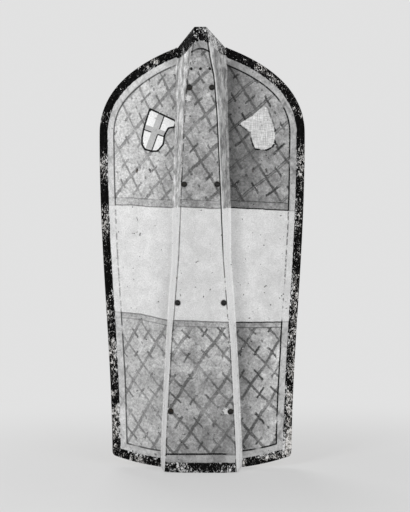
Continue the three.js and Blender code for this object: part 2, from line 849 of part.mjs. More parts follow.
// Small rivet through both layers of a fold, a head on each side
function strapRivet() {
  const seat = layerOffset + strapThickness / 2 + seatGap;
  const front = domePoints(strapRivetHeadRadius, strapRivetHeadRise)
    .map((point) => new THREE.Vector2(point.x, point.y - seat));
  const back = front.map((point) => new THREE.Vector2(point.x, -point.y)).reverse();
  return turned([
    ...front,
    new THREE.Vector2(strapRivetRadius, -seat),
    new THREE.Vector2(strapRivetRadius, seat),
    ...back,
  ]);
}

// Long strap with its row of holes and its point
const longStrap = new THREE.Group();
longStrap.position.set(-staplePlace, crownY, stapleHeight);
shield.add(longStrap);

const longPath = [
  new THREE.Vector2(-layerOffset, -strapFoldLength),
  ...turn(stapleWire, 0, 1),
  new THREE.Vector2(layerOffset, -longStrapLength),
];
const pointOutline = [
  new THREE.Vector2(0, -longStrapLength),
  new THREE.Vector2(strapWidth / 2, -longStrapLength + longStrapPoint),
  new THREE.Vector2(strapWidth / 2, strapWidth),
  new THREE.Vector2(-strapWidth / 2, strapWidth),
  new THREE.Vector2(-strapWidth / 2, -longStrapLength + longStrapPoint),
];
let longStrapSolid = strapBody(longPath).intersect(prismAlongY(pointOutline, -farSide, farSide));
for (let hole = 1; hole <= strapHoleCount; hole += 1) {
  const z = -longStrapLength + longStrapPoint + hole * strapHolePitch;
  longStrapSolid = barAlongYHole(longStrapSolid, strapHoleRadius - seatGap, 0, z);
}
addSolid('long_strap', longStrapSolid, leather, longStrap);
addGeometry('long_strap_rivet', strapRivet(), iron, longStrap).position.z = -strapRivetDrop;

// Short strap, folded at the lower end round the bar of the buckle
const buckleStrap = new THREE.Group();
buckleStrap.position.set(staplePlace, crownY, stapleHeight);
shield.add(buckleStrap);

const bucklePath = [
  new THREE.Vector2(-layerOffset, -strapFoldLength),
  ...turn(stapleWire, 0, 1),
  ...turn(buckleBarRadius, -buckleStrapLength, -1).reverse(),
  new THREE.Vector2(-layerOffset, -buckleStrapLength + strapFoldLength),
];
const slotHalf = tongueWidth / 2 + tongueSlotGap;
const tongueSlot = box(
  [-slotHalf, -farSide, -buckleStrapLength - tongueSlotReach],
  [slotHalf, farSide, -buckleStrapLength + tongueSlotReach],
);
const lowerRivetPlace = -buckleStrapLength + strapRivetDrop;
const buckleStrapSolid = barAlongYHole(strapBody(bucklePath), strapRivetRadius, 0, lowerRivetPlace)
  .subtract(tongueSlot);
addSolid('buckle_strap', buckleStrapSolid, leather, buckleStrap);
addGeometry('buckle_strap_upper_rivet', strapRivet(), iron, buckleStrap).position.z = -strapRivetDrop;
addGeometry('buckle_strap_lower_rivet', strapRivet(), iron, buckleStrap).position.z = lowerRivetPlace;

// Buckle: an iron frame on a round bar, and a tongue with its eye on the same bar
const buckle = new THREE.Group();
buckle.position.z = -buckleStrapLength;
buckleStrap.add(buckle);

const innerHalf = buckleInnerWidth / 2;
const outerHalf = innerHalf + buckleSideWidth;
const frameLow = -buckleDrop - buckleSideWidth / 2;
const frameOutline = new THREE.Shape();
frameOutline.moveTo(-outerHalf, buckleBarRadius);
frameOutline.lineTo(-outerHalf, frameLow + buckleCornerRound);
frameOutline.quadraticCurveTo(-outerHalf, frameLow, -outerHalf + buckleCornerRound, frameLow);
frameOutline.lineTo(outerHalf - buckleCornerRound, frameLow);
frameOutline.quadraticCurveTo(outerHalf, frameLow, outerHalf, frameLow + buckleCornerRound);
frameOutline.lineTo(outerHalf, buckleBarRadius);
frameOutline.lineTo(innerHalf, buckleBarRadius);
frameOutline.lineTo(innerHalf, frameLow + buckleSideWidth);
frameOutline.lineTo(-innerHalf, frameLow + buckleSideWidth);
frameOutline.lineTo(-innerHalf, buckleBarRadius);
const frameSides = prismAlongY(frameOutline.getPoints(domeSteps), -buckleDepth / 2, buckleDepth / 2);

function barAlongX(radius, width) {
  const geometry = new THREE.CylinderGeometry(radius, radius, width, roundSteps);
  geometry.rotateZ(Math.PI / 2);
  return toSolid(geometry);
}

const buckleBar = barAlongX(buckleBarRadius, buckleInnerWidth + buckleSideWidth);
addSolid('buckle_frame', frameSides.add(buckleBar), iron, buckle);

const eyeRadius = buckleBarRadius + strapTurnGap + tongueEyeWall;
const armFront = buckleBarRadius + strapTurnGap;
const tongueArm = prismAlongX([
  new THREE.Vector2(armFront, 0),
  new THREE.Vector2(armFront + tongueThickness / 2, 0),
  new THREE.Vector2(armFront + tongueThickness, -eyeRadius),
  new THREE.Vector2(armFront + tongueThickness / 2, frameLow - seatGap),
  new THREE.Vector2(armFront, frameLow - seatGap),
], tongueWidth);
const tongue = barAlongX(eyeRadius, tongueWidth)
  .add(tongueArm)
  .subtract(barAlongX(buckleBarRadius + strapTurnGap, 2 * tongueWidth));
addSolid('buckle_tongue', tongue, iron, buckle);

// The origin is the middle of the flat back of the hand grip
shield.position.set(0, -gripBack, -gripHeight);

export default shield;
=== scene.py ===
# A pavise: a tall infantry shield of planks with a hollow rib, covered in painted canvas.
# Metres, +Z up. The painted front faces -Y and the bearer stands on the +Y side. The sections follow
# the shield as it is put together. Points are worked out from the foot, with the front of the middle
# planks at y = 0, and set_down() then moves them to their place in the frame.

import math
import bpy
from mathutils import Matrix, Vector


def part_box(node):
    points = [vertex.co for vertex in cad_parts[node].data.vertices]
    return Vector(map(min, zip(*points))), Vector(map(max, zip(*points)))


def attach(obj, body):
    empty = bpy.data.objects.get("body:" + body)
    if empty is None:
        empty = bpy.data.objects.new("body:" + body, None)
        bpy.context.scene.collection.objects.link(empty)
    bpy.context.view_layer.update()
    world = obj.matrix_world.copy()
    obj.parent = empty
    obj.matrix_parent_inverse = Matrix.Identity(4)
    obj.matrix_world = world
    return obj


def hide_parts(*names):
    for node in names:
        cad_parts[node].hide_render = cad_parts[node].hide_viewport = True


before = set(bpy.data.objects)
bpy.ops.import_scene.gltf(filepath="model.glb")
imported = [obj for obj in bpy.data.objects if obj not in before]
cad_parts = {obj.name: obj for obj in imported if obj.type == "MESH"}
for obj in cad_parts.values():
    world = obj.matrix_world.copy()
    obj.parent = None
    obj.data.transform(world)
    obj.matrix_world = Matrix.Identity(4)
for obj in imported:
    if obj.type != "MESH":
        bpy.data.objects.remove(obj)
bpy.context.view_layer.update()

from types import SimpleNamespace

import bmesh
import bpy
import numpy as np
from mathutils import Vector


# Planks, cheeks and front board of the carcass. They are lime, split and planed, glued edge to edge,
# and the panels are bent to the bow. Canvas and lining cover them, and the channel of the rib and the
# cut top of the nose are where the bare wood shows.
class Value:
    """What a socket gives. Sums, products and eased steps of values are written as formulas."""

    def __init__(self, recipe, socket):
        self.recipe = recipe
        self.socket = socket

    def __add__(self, other):
        return self.recipe.math("ADD", self, other)

    def __radd__(self, other):
        return self.recipe.math("ADD", other, self)

    def __sub__(self, other):
        return self.recipe.math("SUBTRACT", self, other)

    def __rsub__(self, other):
        return self.recipe.math("SUBTRACT", other, self)

    def __mul__(self, other):
        return self.recipe.math("MULTIPLY", self, other)

    def __rmul__(self, other):
        return self.recipe.math("MULTIPLY", other, self)

    def __truediv__(self, other):
        return self.recipe.math("DIVIDE", self, other)

    def __rtruediv__(self, other):
        return self.recipe.math("DIVIDE", other, self)

    def rise(self, low, high, bottom=0.0, top=1.0):
        """Eases from bottom to top as the value goes from low to high."""
        inputs = {"Value": self, "From Min": low, "From Max": high, "To Min": bottom, "To Max": top}
        made = self.recipe.node("ShaderNodeMapRange", inputs, interpolation_type="SMOOTHSTEP")
        return self.recipe.outputs(made)["Result"]

    def fall(self, low, high):
        """Eases from 1 to 0 as the value goes from low to high."""
        return self.rise(low, high, 1.0, 0.0)

    def line(self, middle, half, soft):
        """1 within half of the middle, falling to 0 over a soft edge."""
        return self.recipe.math("ABSOLUTE", self - middle).fall(half, half + soft)


class Recipe:
    """Builds the nodes of one material or shader group. Each call gives back the value it makes."""

    def __init__(self, tree):
        self.tree = tree

    def put(self, socket, value):
        """Links a socket, or sets its constant."""
        source = value.socket if isinstance(value, Value) else value
        if isinstance(source, bpy.types.NodeSocket):
            self.tree.links.new(source, socket)
        else:
            socket.default_value = source

    def node(self, kind, inputs=(), **settings):
        """A node with its settings, and its inputs as {name or number: value}."""
        made = self.tree.nodes.new(kind)
        for name, value in settings.items():
            setattr(made, name, value)
        for name, value in dict(inputs).items():
            self.put(made.inputs[name], value)
        return made

    def outputs(self, made):
        """The values of a node by name."""
        return {socket.name: Value(self, socket) for socket in made.outputs}

    def math(self, operation, *values):
        made = self.node("ShaderNodeMath", enumerate(values), operation=operation)
        return Value(self, made.outputs[0])

    def vector(self, operation, *values):
        """A sum or product of vectors, axis by axis."""
        made = self.node("ShaderNodeVectorMath", enumerate(values), operation=operation)
        return Value(self, made.outputs[0])

    def most(self, *values):
        """Greatest of many values."""
        result = values[0]
        for value in values[1:]:
            result = self.math("MAXIMUM", result, value)
        return result

    def blend(self, share, low, high):
        """One colour painted over another by a share."""
        made = self.node("ShaderNodeMix", {0: share, 6: low, 7: high}, data_type="RGBA", clamp_factor=True)
        return Value(self, made.outputs[2])

    def shade(self, colour, amount):
        """A colour times a brightness."""
        inputs = {0: colour[:3] if isinstance(colour, tuple) else colour, "Scale": amount}
        return Value(self, self.node("ShaderNodeVectorMath", inputs, operation="SCALE").outputs[0])

    def place(self):
        """Object coordinates: metres in the frame, because every object sits at the origin."""
        return self.outputs(self.node("ShaderNodeTexCoord"))["Object"]

    def parts(self, vector):
        """X, Y and Z of a vector."""
        return self.outputs(self.node("ShaderNodeSeparateXYZ", {0: vector}))

    def joined(self, *parts):
        """A vector from its parts."""
        return Value(self, self.node("ShaderNodeCombineXYZ", enumerate(parts)).outputs[0])

    def attribute(self, name, kind="Fac"):
        """A value that the points of the mesh carry."""
        return self.outputs(self.node("ShaderNodeAttribute", attribute_name=name))[kind]

    def mark(self, name):
        """Three values that the points of the mesh carry, as X, Y and Z."""
        return self.parts(self.attribute(name, "Vector"))

    def noise(self, vector, scale, detail=2.0, roughness=0.5, distortion=0.0):
        inputs = {"Vector": vector, "Scale": scale, "Detail": detail}
        inputs.update({"Roughness": roughness, "Distortion": distortion})
        return Value(self, self.node("ShaderNodeTexNoise", inputs).outputs[0])

    def streaks(self, place, scales, detail, roughness):
        """Noise with a scale of its own along each axis."""
        return self.noise(self.vector("MULTIPLY", place, scales), 1.0, detail, roughness)

    def cells(self, vector, scale, feature="F1"):
        made = self.node("ShaderNodeTexVoronoi", {"Vector": vector, "Scale": scale}, feature=feature)
        return self.outputs(made)["Distance"]

    def use(self, group, **inputs):
        """Places a shader group with its own values, and gives back its outputs."""
        given = {label.capitalize(): value for label, value in inputs.items()}
        return self.outputs(self.node("ShaderNodeGroup", given, node_tree=group))

    def bump(self, height, distance):
        inputs = {"Height": height, "Distance": distance, "Strength": 1.0}
        return Value(self, self.node("ShaderNodeBump", inputs).outputs[0])


def shader_group(name, inputs, outputs, build):
    """A shader group. Place is a vector, and all its other inputs and outputs are single values."""
    tree = bpy.data.node_groups.new(name, "ShaderNodeTree")
    for way, labels in (("INPUT", inputs), ("OUTPUT", outputs)):
        for label in labels:
            kind = "NodeSocketVector" if label == "Place" else "NodeSocketFloat"
            tree.interface.new_socket(label, in_out=way, socket_type=kind)
    recipe = Recipe(tree)
    given = recipe.outputs(recipe.node("NodeGroupInput"))
    recipe.node("NodeGroupOutput", build(recipe, given))
    return tree


def finish_of(name, build, metallic=0.0, specular=0.5):
    """A Principled material. build gives back its colour, roughness and bump normal or None."""
    material = bpy.data.materials.new(name)
    material.use_nodes = True
    recipe = Recipe(material.node_tree)
    principled = material.node_tree.nodes["Principled BSDF"].inputs
    labels = ("Base Color", "Roughness", "Normal", "Metallic", "Specular IOR Level")
    for label, value in zip(labels, (*build(recipe), metallic, specular)):
        if value is not None:
            recipe.put(principled[label], value)
    return material


def tone(shade, warmth=0.0):
    """A grey by its value out of 255, a little warm where asked, in linear light."""
    coded = np.array([shade * (1 + warmth), shade, shade * (1 - 1.4 * warmth)]) / 255
    linear = np.where(coded <= 0.04045, coded / 12.92, ((coded + 0.055) / 1.055) ** 2.4)
    return (*[float(part) for part in linear], 1.0)


def grime_nodes(recipe, given):
    """Dirt that has settled in patches, with finer specks on it."""
    broad = recipe.noise(given["Place"], given["Scale"], 4.0, 0.62)
    fine = recipe.noise(given["Place"], given["Scale"] * 9.0, 3.0, 0.6)
    mixed = broad * 0.7 + fine * 0.3
    return {"Tone": mixed.rise(0.34, 0.66), "Speck": fine.rise(0.64, 0.74)}


def grain_nodes(recipe, given):
    """Year rings round a pith outside the board, bent by slow noise, and pores as fine streaks. The
    grain runs along Z of the place, which is squeezed that way."""
    parts = recipe.parts(recipe.vector("ADD", given["Place"], pith_offset))
    bend = recipe.noise(given["Place"], 7.0, 3.0, 0.5)
    distance = recipe.math("SQRT", parts["X"] * parts["X"] + parts["Y"] * parts["Y"])
    turns = distance / ring_step + bend * 40.0
    rings = recipe.math("FRACT", turns).rise(0.0, 0.85)
    rings = rings * recipe.math("FRACT", turns).fall(0.85, 1.0)
    streak = recipe.noise(given["Place"], 160.0, 5.0, 0.7)
    pores = recipe.noise(given["Place"], 620.0, 2.0, 0.6)
    figure = rings * -0.22 + 0.32 + streak * 0.48 + pores * 0.2
    height = streak * 0.6 + pores * 0.4
    return {"Tone": figure, "Height": height}


pith_offset = (0.021, 0.034, 0.0)
ring_step = 0.0042
grain_squeeze = 0.07
grime = shader_group("settled_dirt", ("Place", "Scale"), ("Tone", "Speck"), grime_nodes)
grain = shader_group("wood_grain", ("Place",), ("Tone", "Height"), grain_nodes)


def wood_finish(name, light, dark, upright, roughness, relief, warmth):
    """Bare or hand-worn wood, with its grain upright or from side to side."""

    def build(recipe):
        place = recipe.place()
        parts = recipe.parts(place)
        run, aside = ("Z", "X") if upright else ("X", "Z")
        lengthways = recipe.joined(parts[aside], parts["Y"], parts[run] * grain_squeeze)
        figure = recipe.use(grain, place=lengthways)
        dirt = recipe.use(grime, place=place, scale=11.0)
        wood = recipe.blend(figure["Tone"].rise(0.3, 0.7), tone(dark, warmth), tone(light, warmth))
        aged = recipe.blend(dirt["Tone"] * 0.5, wood, tone(dark * 0.62, warmth))
        aged = recipe.blend(dirt["Speck"] * 0.35, aged, tone(dark * 0.4, warmth))
        rough = figure["Tone"].rise(0.2, 0.8, roughness - 0.08, roughness + 0.08)
        return aged, rough, recipe.bump(figure["Height"], relief)

    return finish_of(name, build, specular=0.35)


plank_wood = wood_finish("planed_lime_upright", 166, 92, True, 0.78, 0.0007, 0.11)


def cover_board(name, wood):
    """Gives a board of the carcass its wood."""
    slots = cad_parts[name].data.materials
    slots.clear()
    slots.append(wood)


for board in ("left_outer", "left_inner", "right_inner", "right_outer"):
    cover_board(f"{board}_board", plank_wood)


# Crosspieces and nose block. Three lime blocks lie across the channel behind the lower rivet pairs,
# and a carved block fills the nose. Their edges are taken off with a knife, and the rivets hold them.
shield_body = "shield"


def round_edges(piece, name, width, angle):
    """Rounds the edges of a piece that turn by more than an angle in degrees."""
    bevel = piece.modifiers.new(name, "BEVEL")
    bevel.width = width
    bevel.segments = 2
    bevel.limit_method = "ANGLE"
    bevel.angle_limit = math.radians(angle)


def softened(name, source, body, slot, material, width):
    """A copy of a CAD node with its doubles merged and its sharp edges rounded by a bevel."""
    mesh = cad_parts[source].data.copy()
    mesh.materials.clear()
    edited = bmesh.new()
    edited.from_mesh(mesh)
    bmesh.ops.remove_doubles(edited, verts=edited.verts, dist=1e-6)
    bmesh.ops.dissolve_limit(edited, angle_limit=math.radians(2), verts=edited.verts, edges=edited.edges)
    edited.to_mesh(mesh)
    edited.free()
    piece = bpy.data.objects.new(name, mesh)
    bpy.context.scene.collection.objects.link(piece)
    round_edges(piece, "rounded_edges", width, 28)
    return settle(piece, [source], body, material)


def settle(piece, nodes, body, material):
    """Gives a piece its finish and body, and hides the CAD nodes that it stands for."""
    piece.data.materials.append(material)
    if nodes:
        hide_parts(*nodes)
    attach(piece, body)
    return piece


block_wood = wood_finish("knife_trimmed_lime", 174, 98, False, 0.76, 0.0008, 0.12)
block_edge = 0.0016
for level in ("upper", "lower", "foot"):
    softened(f"{level}_cross_block", f"{level}_crosspiece", shield_body, "lime_wood", block_wood, block_edge)
roof_front = (-0.1076, 0.5595)
roof_back = (0.0024, 0.5225)


def nose_finish(recipe):
    """Lime, blackened over the top of the nose with the edge paint, which has flaked."""
    place = recipe.place()
    parts = recipe.parts(place)
    figure = recipe.use(grain, place=recipe.vector("MULTIPLY", place, (1.0, 1.0, grain_squeeze)))
    dirt = recipe.use(grime, place=place, scale=14.0)
    wood = recipe.blend(figure["Tone"].rise(0.3, 0.7), tone(92, 0.11), tone(166, 0.11))
    wood = recipe.blend(dirt["Tone"] * 0.42, wood, tone(64, 0.12))
    fall = (roof_back[1] - roof_front[1]) / (roof_back[0] - roof_front[0])
    roof = roof_front[1] - roof_front[0] * fall + parts["Y"] * fall
    ragged = (recipe.noise(place, 70.0, 4.0) - 0.5) * 0.012
    under = roof + parts["Z"] * -1.0 + ragged
    painted = under.fall(0.006, 0.0075)
    painted = painted * recipe.noise(place, 150.0, 4.0, 0.7).fall(0.56, 0.6)
    colour = recipe.blend(painted, wood, tone(16))
    relief = figure["Height"] + painted * 0.8
    return colour, 0.8, recipe.bump(relief, 0.0006)


nose_wood = finish_of("blackened_nose_lime", nose_finish, specular=0.15)
for board in ("front_board", "left_cheek", "right_cheek"):
    cover_board(f"rib_{board}", nose_wood)
softened("carved_nose_block", "nose_block", shield_body, "lime_wood", nose_wood, block_edge)


# Painted canvas. One linen canvas is glued over planks and rib, grounded with gesso and painted: two
# fields with a ragged trellis, a white band between them, a pale fillet and a black edge. It is one
# skin, worked out row by row from the middle of the rib to the edge, and turned off at the outline.
half_width = 0.275
corner_half = 0.239
corner_height = 0.030
corner_round = 0.009
foot_flat = 0.040
foot_reach = 0.12
arch_height = 1.117
spring_height = 0.893
nose_height = 1.156
nose_rise = nose_height - arch_height
bow_radius = 0.820
board_thickness = 0.010
canvas_proud = 0.0015
canvas_thickness = 0.0012
sides = (("left", -1), ("right", 1))
rib_heights = nose_height * np.array([0, 0.095, 0.2855, 0.4845, 0.692, 0.8045, 0.891, 0.9343, 1])
rib_fronts = 0.094 * np.array([1, 0.952, 0.83, 0.638, 0.53, 0.468, 0.383, 0.271, 0.144])
rib_bases = 0.106 * np.array([1, 0.962, 0.858, 0.708, 0.66, 0.627, 0.604, 0.594, 0.585])
rib_depths = 0.060 * np.array([1.133, 1.083, 1, 1, 1, 1.083, 1.217, 1.317, 1.5])
ring_heights = np.concatenate([[-0.005], rib_heights[1:-1], [nose_height + 0.005]])
back_reach = 0.060
arch_half = rib_bases[-1]

foot_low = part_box("front_canvas")[0].z
grip_back = 0.0176


def set_down(points):
    """Moves points from the foot's measure to the frame: back to the grip and down to its middle."""
    return points + np.array([0.0, -grip_back, foot_low])


def bezier(controls, count):
    """Control points weighted by their Bernstein shares, at even steps."""
    controls = np.array(controls, float)
    t = np.linspace(0, 1, count)[:, None]
    order = len(controls) - 1
    return sum(
        math.comb(order, k) * t**k * (1 - t) ** (order - k) * controls[k] for k in range(order + 1)
    )


corner_start = (
    corner_half - corner_round,
    corner_height * (1 - 2 * corner_round / (corner_half - foot_flat)),
)
foot_curve = bezier([(foot_flat, 0), ((foot_flat + corner_start[0]) / 2, 0), corner_start], 40)
corner_curve = bezier(
    [corner_start, (corner_half, corner_height), (corner_half, corner_height + corner_round)], 9
)
side_curve = bezier(
    [
        (corner_half, corner_height + corner_round),
        (corner_half + 0.004, corner_height + 0.320),
        (half_width, spring_height - 0.333),
        (half_width, spring_height),
    ],
    130,
)
arch_curve = bezier(
    [
        (half_width, spring_height),
        (half_width, spring_height + 0.126),
        (arch_half + 0.098, arch_height - 0.036),
        (arch_half, arch_height),
    ],
    90,
)
side_line = np.vstack([corner_curve, side_curve[1:], arch_curve[1:]])


def eased(value, low, high):
    """0 below low, 1 above high, and 3t² - 2t³ of the share t between them."""
    share = np.clip((value - low) / (high - low), 0, 1)
    return share * share * (3 - 2 * share)


def rib_at(height):
    """Half width of the rib's front and base, and its depth: straight lines between the stations."""
    return [np.interp(height, rib_heights, sizes) for sizes in (rib_fronts, rib_bases, rib_depths)]


def bow_y(radius, x):
    """Depth of a circle round the middle of the bow."""
    return bow_radius - np.sqrt(radius**2 - np.asarray(x) ** 2)


def panel_y(x, proud=0.0):
    """Front of the bowed panels, so far proud of the wood."""
    return bow_y(bow_radius + proud, x)


def flank_corners(height, grow, front):
    """Arris, fold and back edge of a flank at a height, in x and y. grow and front are how far flank
    and front stand off the wood. Between two stations a flank is two flat faces, which meet on a
    line from the lower arris to the upper back edge. 20 mm of height are averaged."""
    level = np.asarray(height)[..., None] + np.linspace(-0.010, 0.010, 7)
    above = np.clip(np.searchsorted(ring_heights, level), 1, len(ring_heights) - 1)
    below = above - 1
    share = (level - ring_heights[below]) / (ring_heights[above] - ring_heights[below])
    share = np.clip(share, 0, 1)[..., None]
    rise = rib_depths + panel_y(rib_bases)
    run = rib_bases - rib_fronts
    aside = rib_fronts + grow * np.hypot(run, rise) / rise
    arris = np.stack([aside - front * run / rise, -rib_depths - front], -1)
    deep = np.full(len(rib_heights), back_reach)
    back = np.stack([aside + (back_reach + rib_depths) * run / rise, deep], -1)
    edge = arris[below] + share * (arris[above] - arris[below])
    fold = arris[below] + share * (back[above] - arris[below])
    rear = back[below] + share * (back[above] - back[below])
    return [points.mean(-2) for points in (edge, fold, rear)]


def on_flank_line(value, corners, known):
    """Follows a flank from arris to fold to back edge. known is 0 where x is given and y is
    wanted, and 1 the other way round."""
    arris, fold, rear = corners
    sought = 1 - known

    def between(one, other):
        share = (value - one[..., known]) / np.maximum(other[..., known] - one[..., known], 1e-5)
        return one[..., sought] + share * (other[..., sought] - one[..., sought])

    return np.where(value < fold[..., known], between(arris, fold), between(fold, rear))


def unevenness(x, z):
    """A quarter of a millimetre of hand-worked waviness: four crossed sine waves."""
    waves = (
        np.sin(31 * x + 17 * z + 1.3)
        + np.sin(53 * z - 23 * x)
        + 0.7 * np.sin(71 * x + 64 * z + 2.1)
        + 0.6 * np.sin(119 * z - 88 * x + 0.4)
    )
    return 0.00008 * waves


def skin_rows(count):
    """Rows of a skin from the foot to the top: where each meets the edge, its height in the middle,
    and how far it drops from the edge to there, which fades out over the foot's reach."""
    share = np.linspace(0, 1, count)
    edge_z = corner_start[1] + (arch_height - corner_start[1]) * share
    edge_x = np.interp(edge_z, side_line[:, 1], side_line[:, 0])
    drop = corner_start[1] * np.clip(1 - (edge_z - corner_start[1]) / foot_reach, 0, 1) ** 2
    return SimpleNamespace(edge_x=edge_x, middle_z=edge_z - drop, drop=drop)


def level_at(x, row):
    """Height of a row at x: the middle's height, raised by the foot's curve near the foot."""
    along = np.abs(x) / row.edge_x * corner_start[0]
    rise = np.interp(along, foot_curve[:, 0], foot_curve[:, 1]) / corner_start[1]
    return row.middle_z + row.drop * rise


def turned_over(first, corner, last):
    """Columns of a quadratic curve round a corner, without its ends: the shares and the points."""
    shares = np.linspace(0, 1, round_columns + 2)[1:-1]
    return shares, [(1 - t) ** 2 * first + 2 * t * (1 - t) * corner + t * t * last for t in shares]


def front_half(proud, rows):
    """Right half of the skin at a distance from the wood. Rows climb from the foot to the nose, and
    columns run from the middle over the arris, down the flank and out to the edge. Gives x, y, z and
    the zone: 0 to 1 on the rib's front, 1 to 2 on its flank, 2 to 3 on the panel."""
    row = skin_rows(rows)
    edge_x = row.edge_x
    base_z = arris_z = row.middle_z
    lift = nose_rise * eased(row.middle_z, lift_start, arch_height)
    base_y = panel_y(rib_at(base_z)[1])
    for _ in range(5):
        base_x = on_flank_line(base_y, flank_corners(base_z, proud, proud), 1)
        base_x = np.minimum(base_x, edge_x - 0.0005)
        base_z = level_at(base_x, row)
        base_y = panel_y(base_x, proud)
        arris_x = flank_corners(arris_z, proud, proud)[0][..., 0]
        arris_z = level_at(arris_x, row) + lift
    base_y = np.minimum(base_y, on_flank_line(base_x, flank_corners(base_z, proud, proud), 0))
    front_y = flank_corners(arris_z, proud, proud)[0][..., 1]
    arris = np.stack([arris_x, front_y, arris_z], -1)
    base = np.stack([base_x, base_y, base_z], -1)
    length = np.linalg.norm(base - arris, axis=-1)
    round_share = arris_round / length
    fillet_share = base_fillet / length
    columns, zones = [], []
    for share in np.linspace(0, 1, front_columns):
        x = share * (arris_x - arris_round)
        z = level_at(x, row) + lift
        columns.append(np.stack([x, flank_corners(z, proud, proud)[0][..., 1], z], -1))
        zones.append(x / arris_x)
    flank, flank_zones = [], []
    for share in np.linspace(0, 1, flank_columns):
        share = round_share + (1 - round_share - fillet_share) * share
        x = arris_x + share * (base_x - arris_x)
        z = arris_z + share * (base_z - arris_z)
        flank.append(np.stack([x, on_flank_line(x, flank_corners(z, proud, proud), 0), z], -1))
        flank_zones.append(1 + share)
    panel_start = np.minimum(base_fillet, 0.5 * (edge_x - base_x))
    panel, panel_zones = [], []
    for share in np.linspace(0, 1, panel_columns):
        x = base_x + panel_start + share * (edge_x - base_x - panel_start)
        panel.append(np.stack([x, panel_y(x, proud), level_at(np.minimum(x, edge_x), row)], -1))
        panel_zones.append(panel_zone + (3 - panel_zone) * share + 0 * arris_x)
    shares, points = turned_over(columns[-1], arris, flank[0])
    zones.extend([(1 - t) * zones[-1] + t * flank_zones[0] for t in shares])
    columns.extend(points + flank)
    zones.extend(flank_zones)
    shares, points = turned_over(flank[-1], base, panel[0])
    zones.extend([(1 - t) * zones[-1] + t * panel_zone for t in shares])
    columns.extend(points + panel)
    zones.extend(panel_zones)
    return np.stack(columns, 1), np.stack(zones, 1)


def both_sides(half, mirrored):
    """A half grid and its mirror image, joined at the middle column."""
    return np.concatenate([mirrored[:, :0:-1], half], 1)


def normals_of(grid):
    """Unit normals of a grid: the cross product of its column and row directions."""
    across = np.gradient(grid, axis=1)
    upward = np.gradient(grid, axis=0)
    normal = np.cross(across, upward)
    return normal / np.maximum(np.linalg.norm(normal, axis=-1, keepdims=True), 1e-12)


def new_piece(name, vertices, faces, closed=True):
    """A smooth mesh, turned so that its faces look outwards."""
    mesh = bpy.data.meshes.new(name)
    mesh.from_pydata(set_down(vertices), [], faces)
    mesh.polygons.foreach_set("use_smooth", np.full(len(mesh.polygons), True))
    edited = bmesh.new()
    edited.from_mesh(mesh)
    if closed and edited.calc_volume(signed=True) < 0:
        bmesh.ops.reverse_faces(edited, faces=edited.faces)
        edited.to_mesh(mesh)
    edited.free()
    mesh.update()
    piece = bpy.data.objects.new(name, mesh)
    bpy.context.scene.collection.objects.link(piece)
    return piece


def grid_faces(rows, columns, first=0, turned=False, ring=False):
    """Four-sided faces of a grid of rows and columns, which may close on itself across."""
    count = columns if ring else columns - 1
    i, j = np.meshgrid(np.arange(rows - 1), np.arange(count), indexing="ij")
    k = (j + 1) % columns
    quads = np.stack([i * columns + j, i * columns + k, (i + 1) * columns + k, (i + 1) * columns + j], -1)
    quads = quads.reshape(-1, 4) + first
    return quads[:, ::-1] if turned else quads


def closed_shell(name, outer, inner, marks=None):
    """A skin with thickness: two like grids, outer and inner, joined by a wall round their edge.
    marks are named values on the grid, kept as attributes of its points."""
    rows, columns = outer.shape[:2]
    count = rows * columns
    index = np.arange(count).reshape(rows, columns)
    loop = np.concatenate([index[0, :-1], index[:-1, -1], index[-1, :0:-1], index[:0:-1, 0]])
    after = np.roll(loop, -1)
    wall = np.stack([after, loop, loop + count, after + count], -1)
    faces = np.concatenate([grid_faces(rows, columns), grid_faces(rows, columns, count, True), wall])
    vertices = np.concatenate([outer.reshape(-1, 3), inner.reshape(-1, 3)])
    piece = new_piece(name, vertices, faces.tolist())
    for label, values in (marks or {}).items():
        add_mark(piece, label, np.concatenate([values.reshape(count, -1)] * 2))
    return piece


def add_mark(piece, label, values):
    """Stores a value or a vector on each point of a piece."""
    kind = "FLOAT" if values.shape[-1] == 1 else "FLOAT_VECTOR"
    attribute = piece.data.attributes.new(label, kind, "POINT")
    field = "value" if kind == "FLOAT" else "vector"
    attribute.data.foreach_set(field, values.astype(np.float32).ravel())


def distance_to_line(x, z, line):
    """Shortest distance in the plane from each point to a line of straight pieces."""
    start, step = line[:-1], np.diff(line, axis=0)
    away_x = np.asarray(x)[..., None] - start[:, 0]
    away_z = np.asarray(z)[..., None] - start[:, 1]
    share = (away_x * step[:, 0] + away_z * step[:, 1]) / (step**2).sum(-1)
    share = np.clip(share, 0, 1)
    return np.hypot(away_x - share * step[:, 0], away_z - share * step[:, 1]).min(-1)


arris_round = 0.003
base_fillet = 0.006
lift_start = 0.95
front_columns = 15
round_columns = 5
flank_columns = 15
panel_columns = 46
panel_zone = 2.05
right_half, right_zone = front_half(canvas_proud, 226)
front = both_sides(right_half, right_half * np.array([-1, 1, 1]))
zone = both_sides(right_zone, -right_zone)
outward = normals_of(front)
front = front + outward * unevenness(front[..., 0], front[..., 2])[..., None]
x, z = front[..., 0], front[..., 2]
on_board = np.abs(zone) <= 1

# Where the photograph shows the shield: its middle column, the row of the camera's height, and the
# size of a pixel on the panels and on the rib's front, which is nearer to the camera.
middle_pixel = 202.0
level_pixel = 249.9
level_height = 0.580
panel_pixel = 0.002655
rib_pixel = 0.00260

on_rib = np.abs(zone) < 1.5
pixel = np.where(on_rib, rib_pixel, panel_pixel)
photo_x = middle_pixel + x / pixel
photo_y = level_pixel - (z - level_height) / pixel

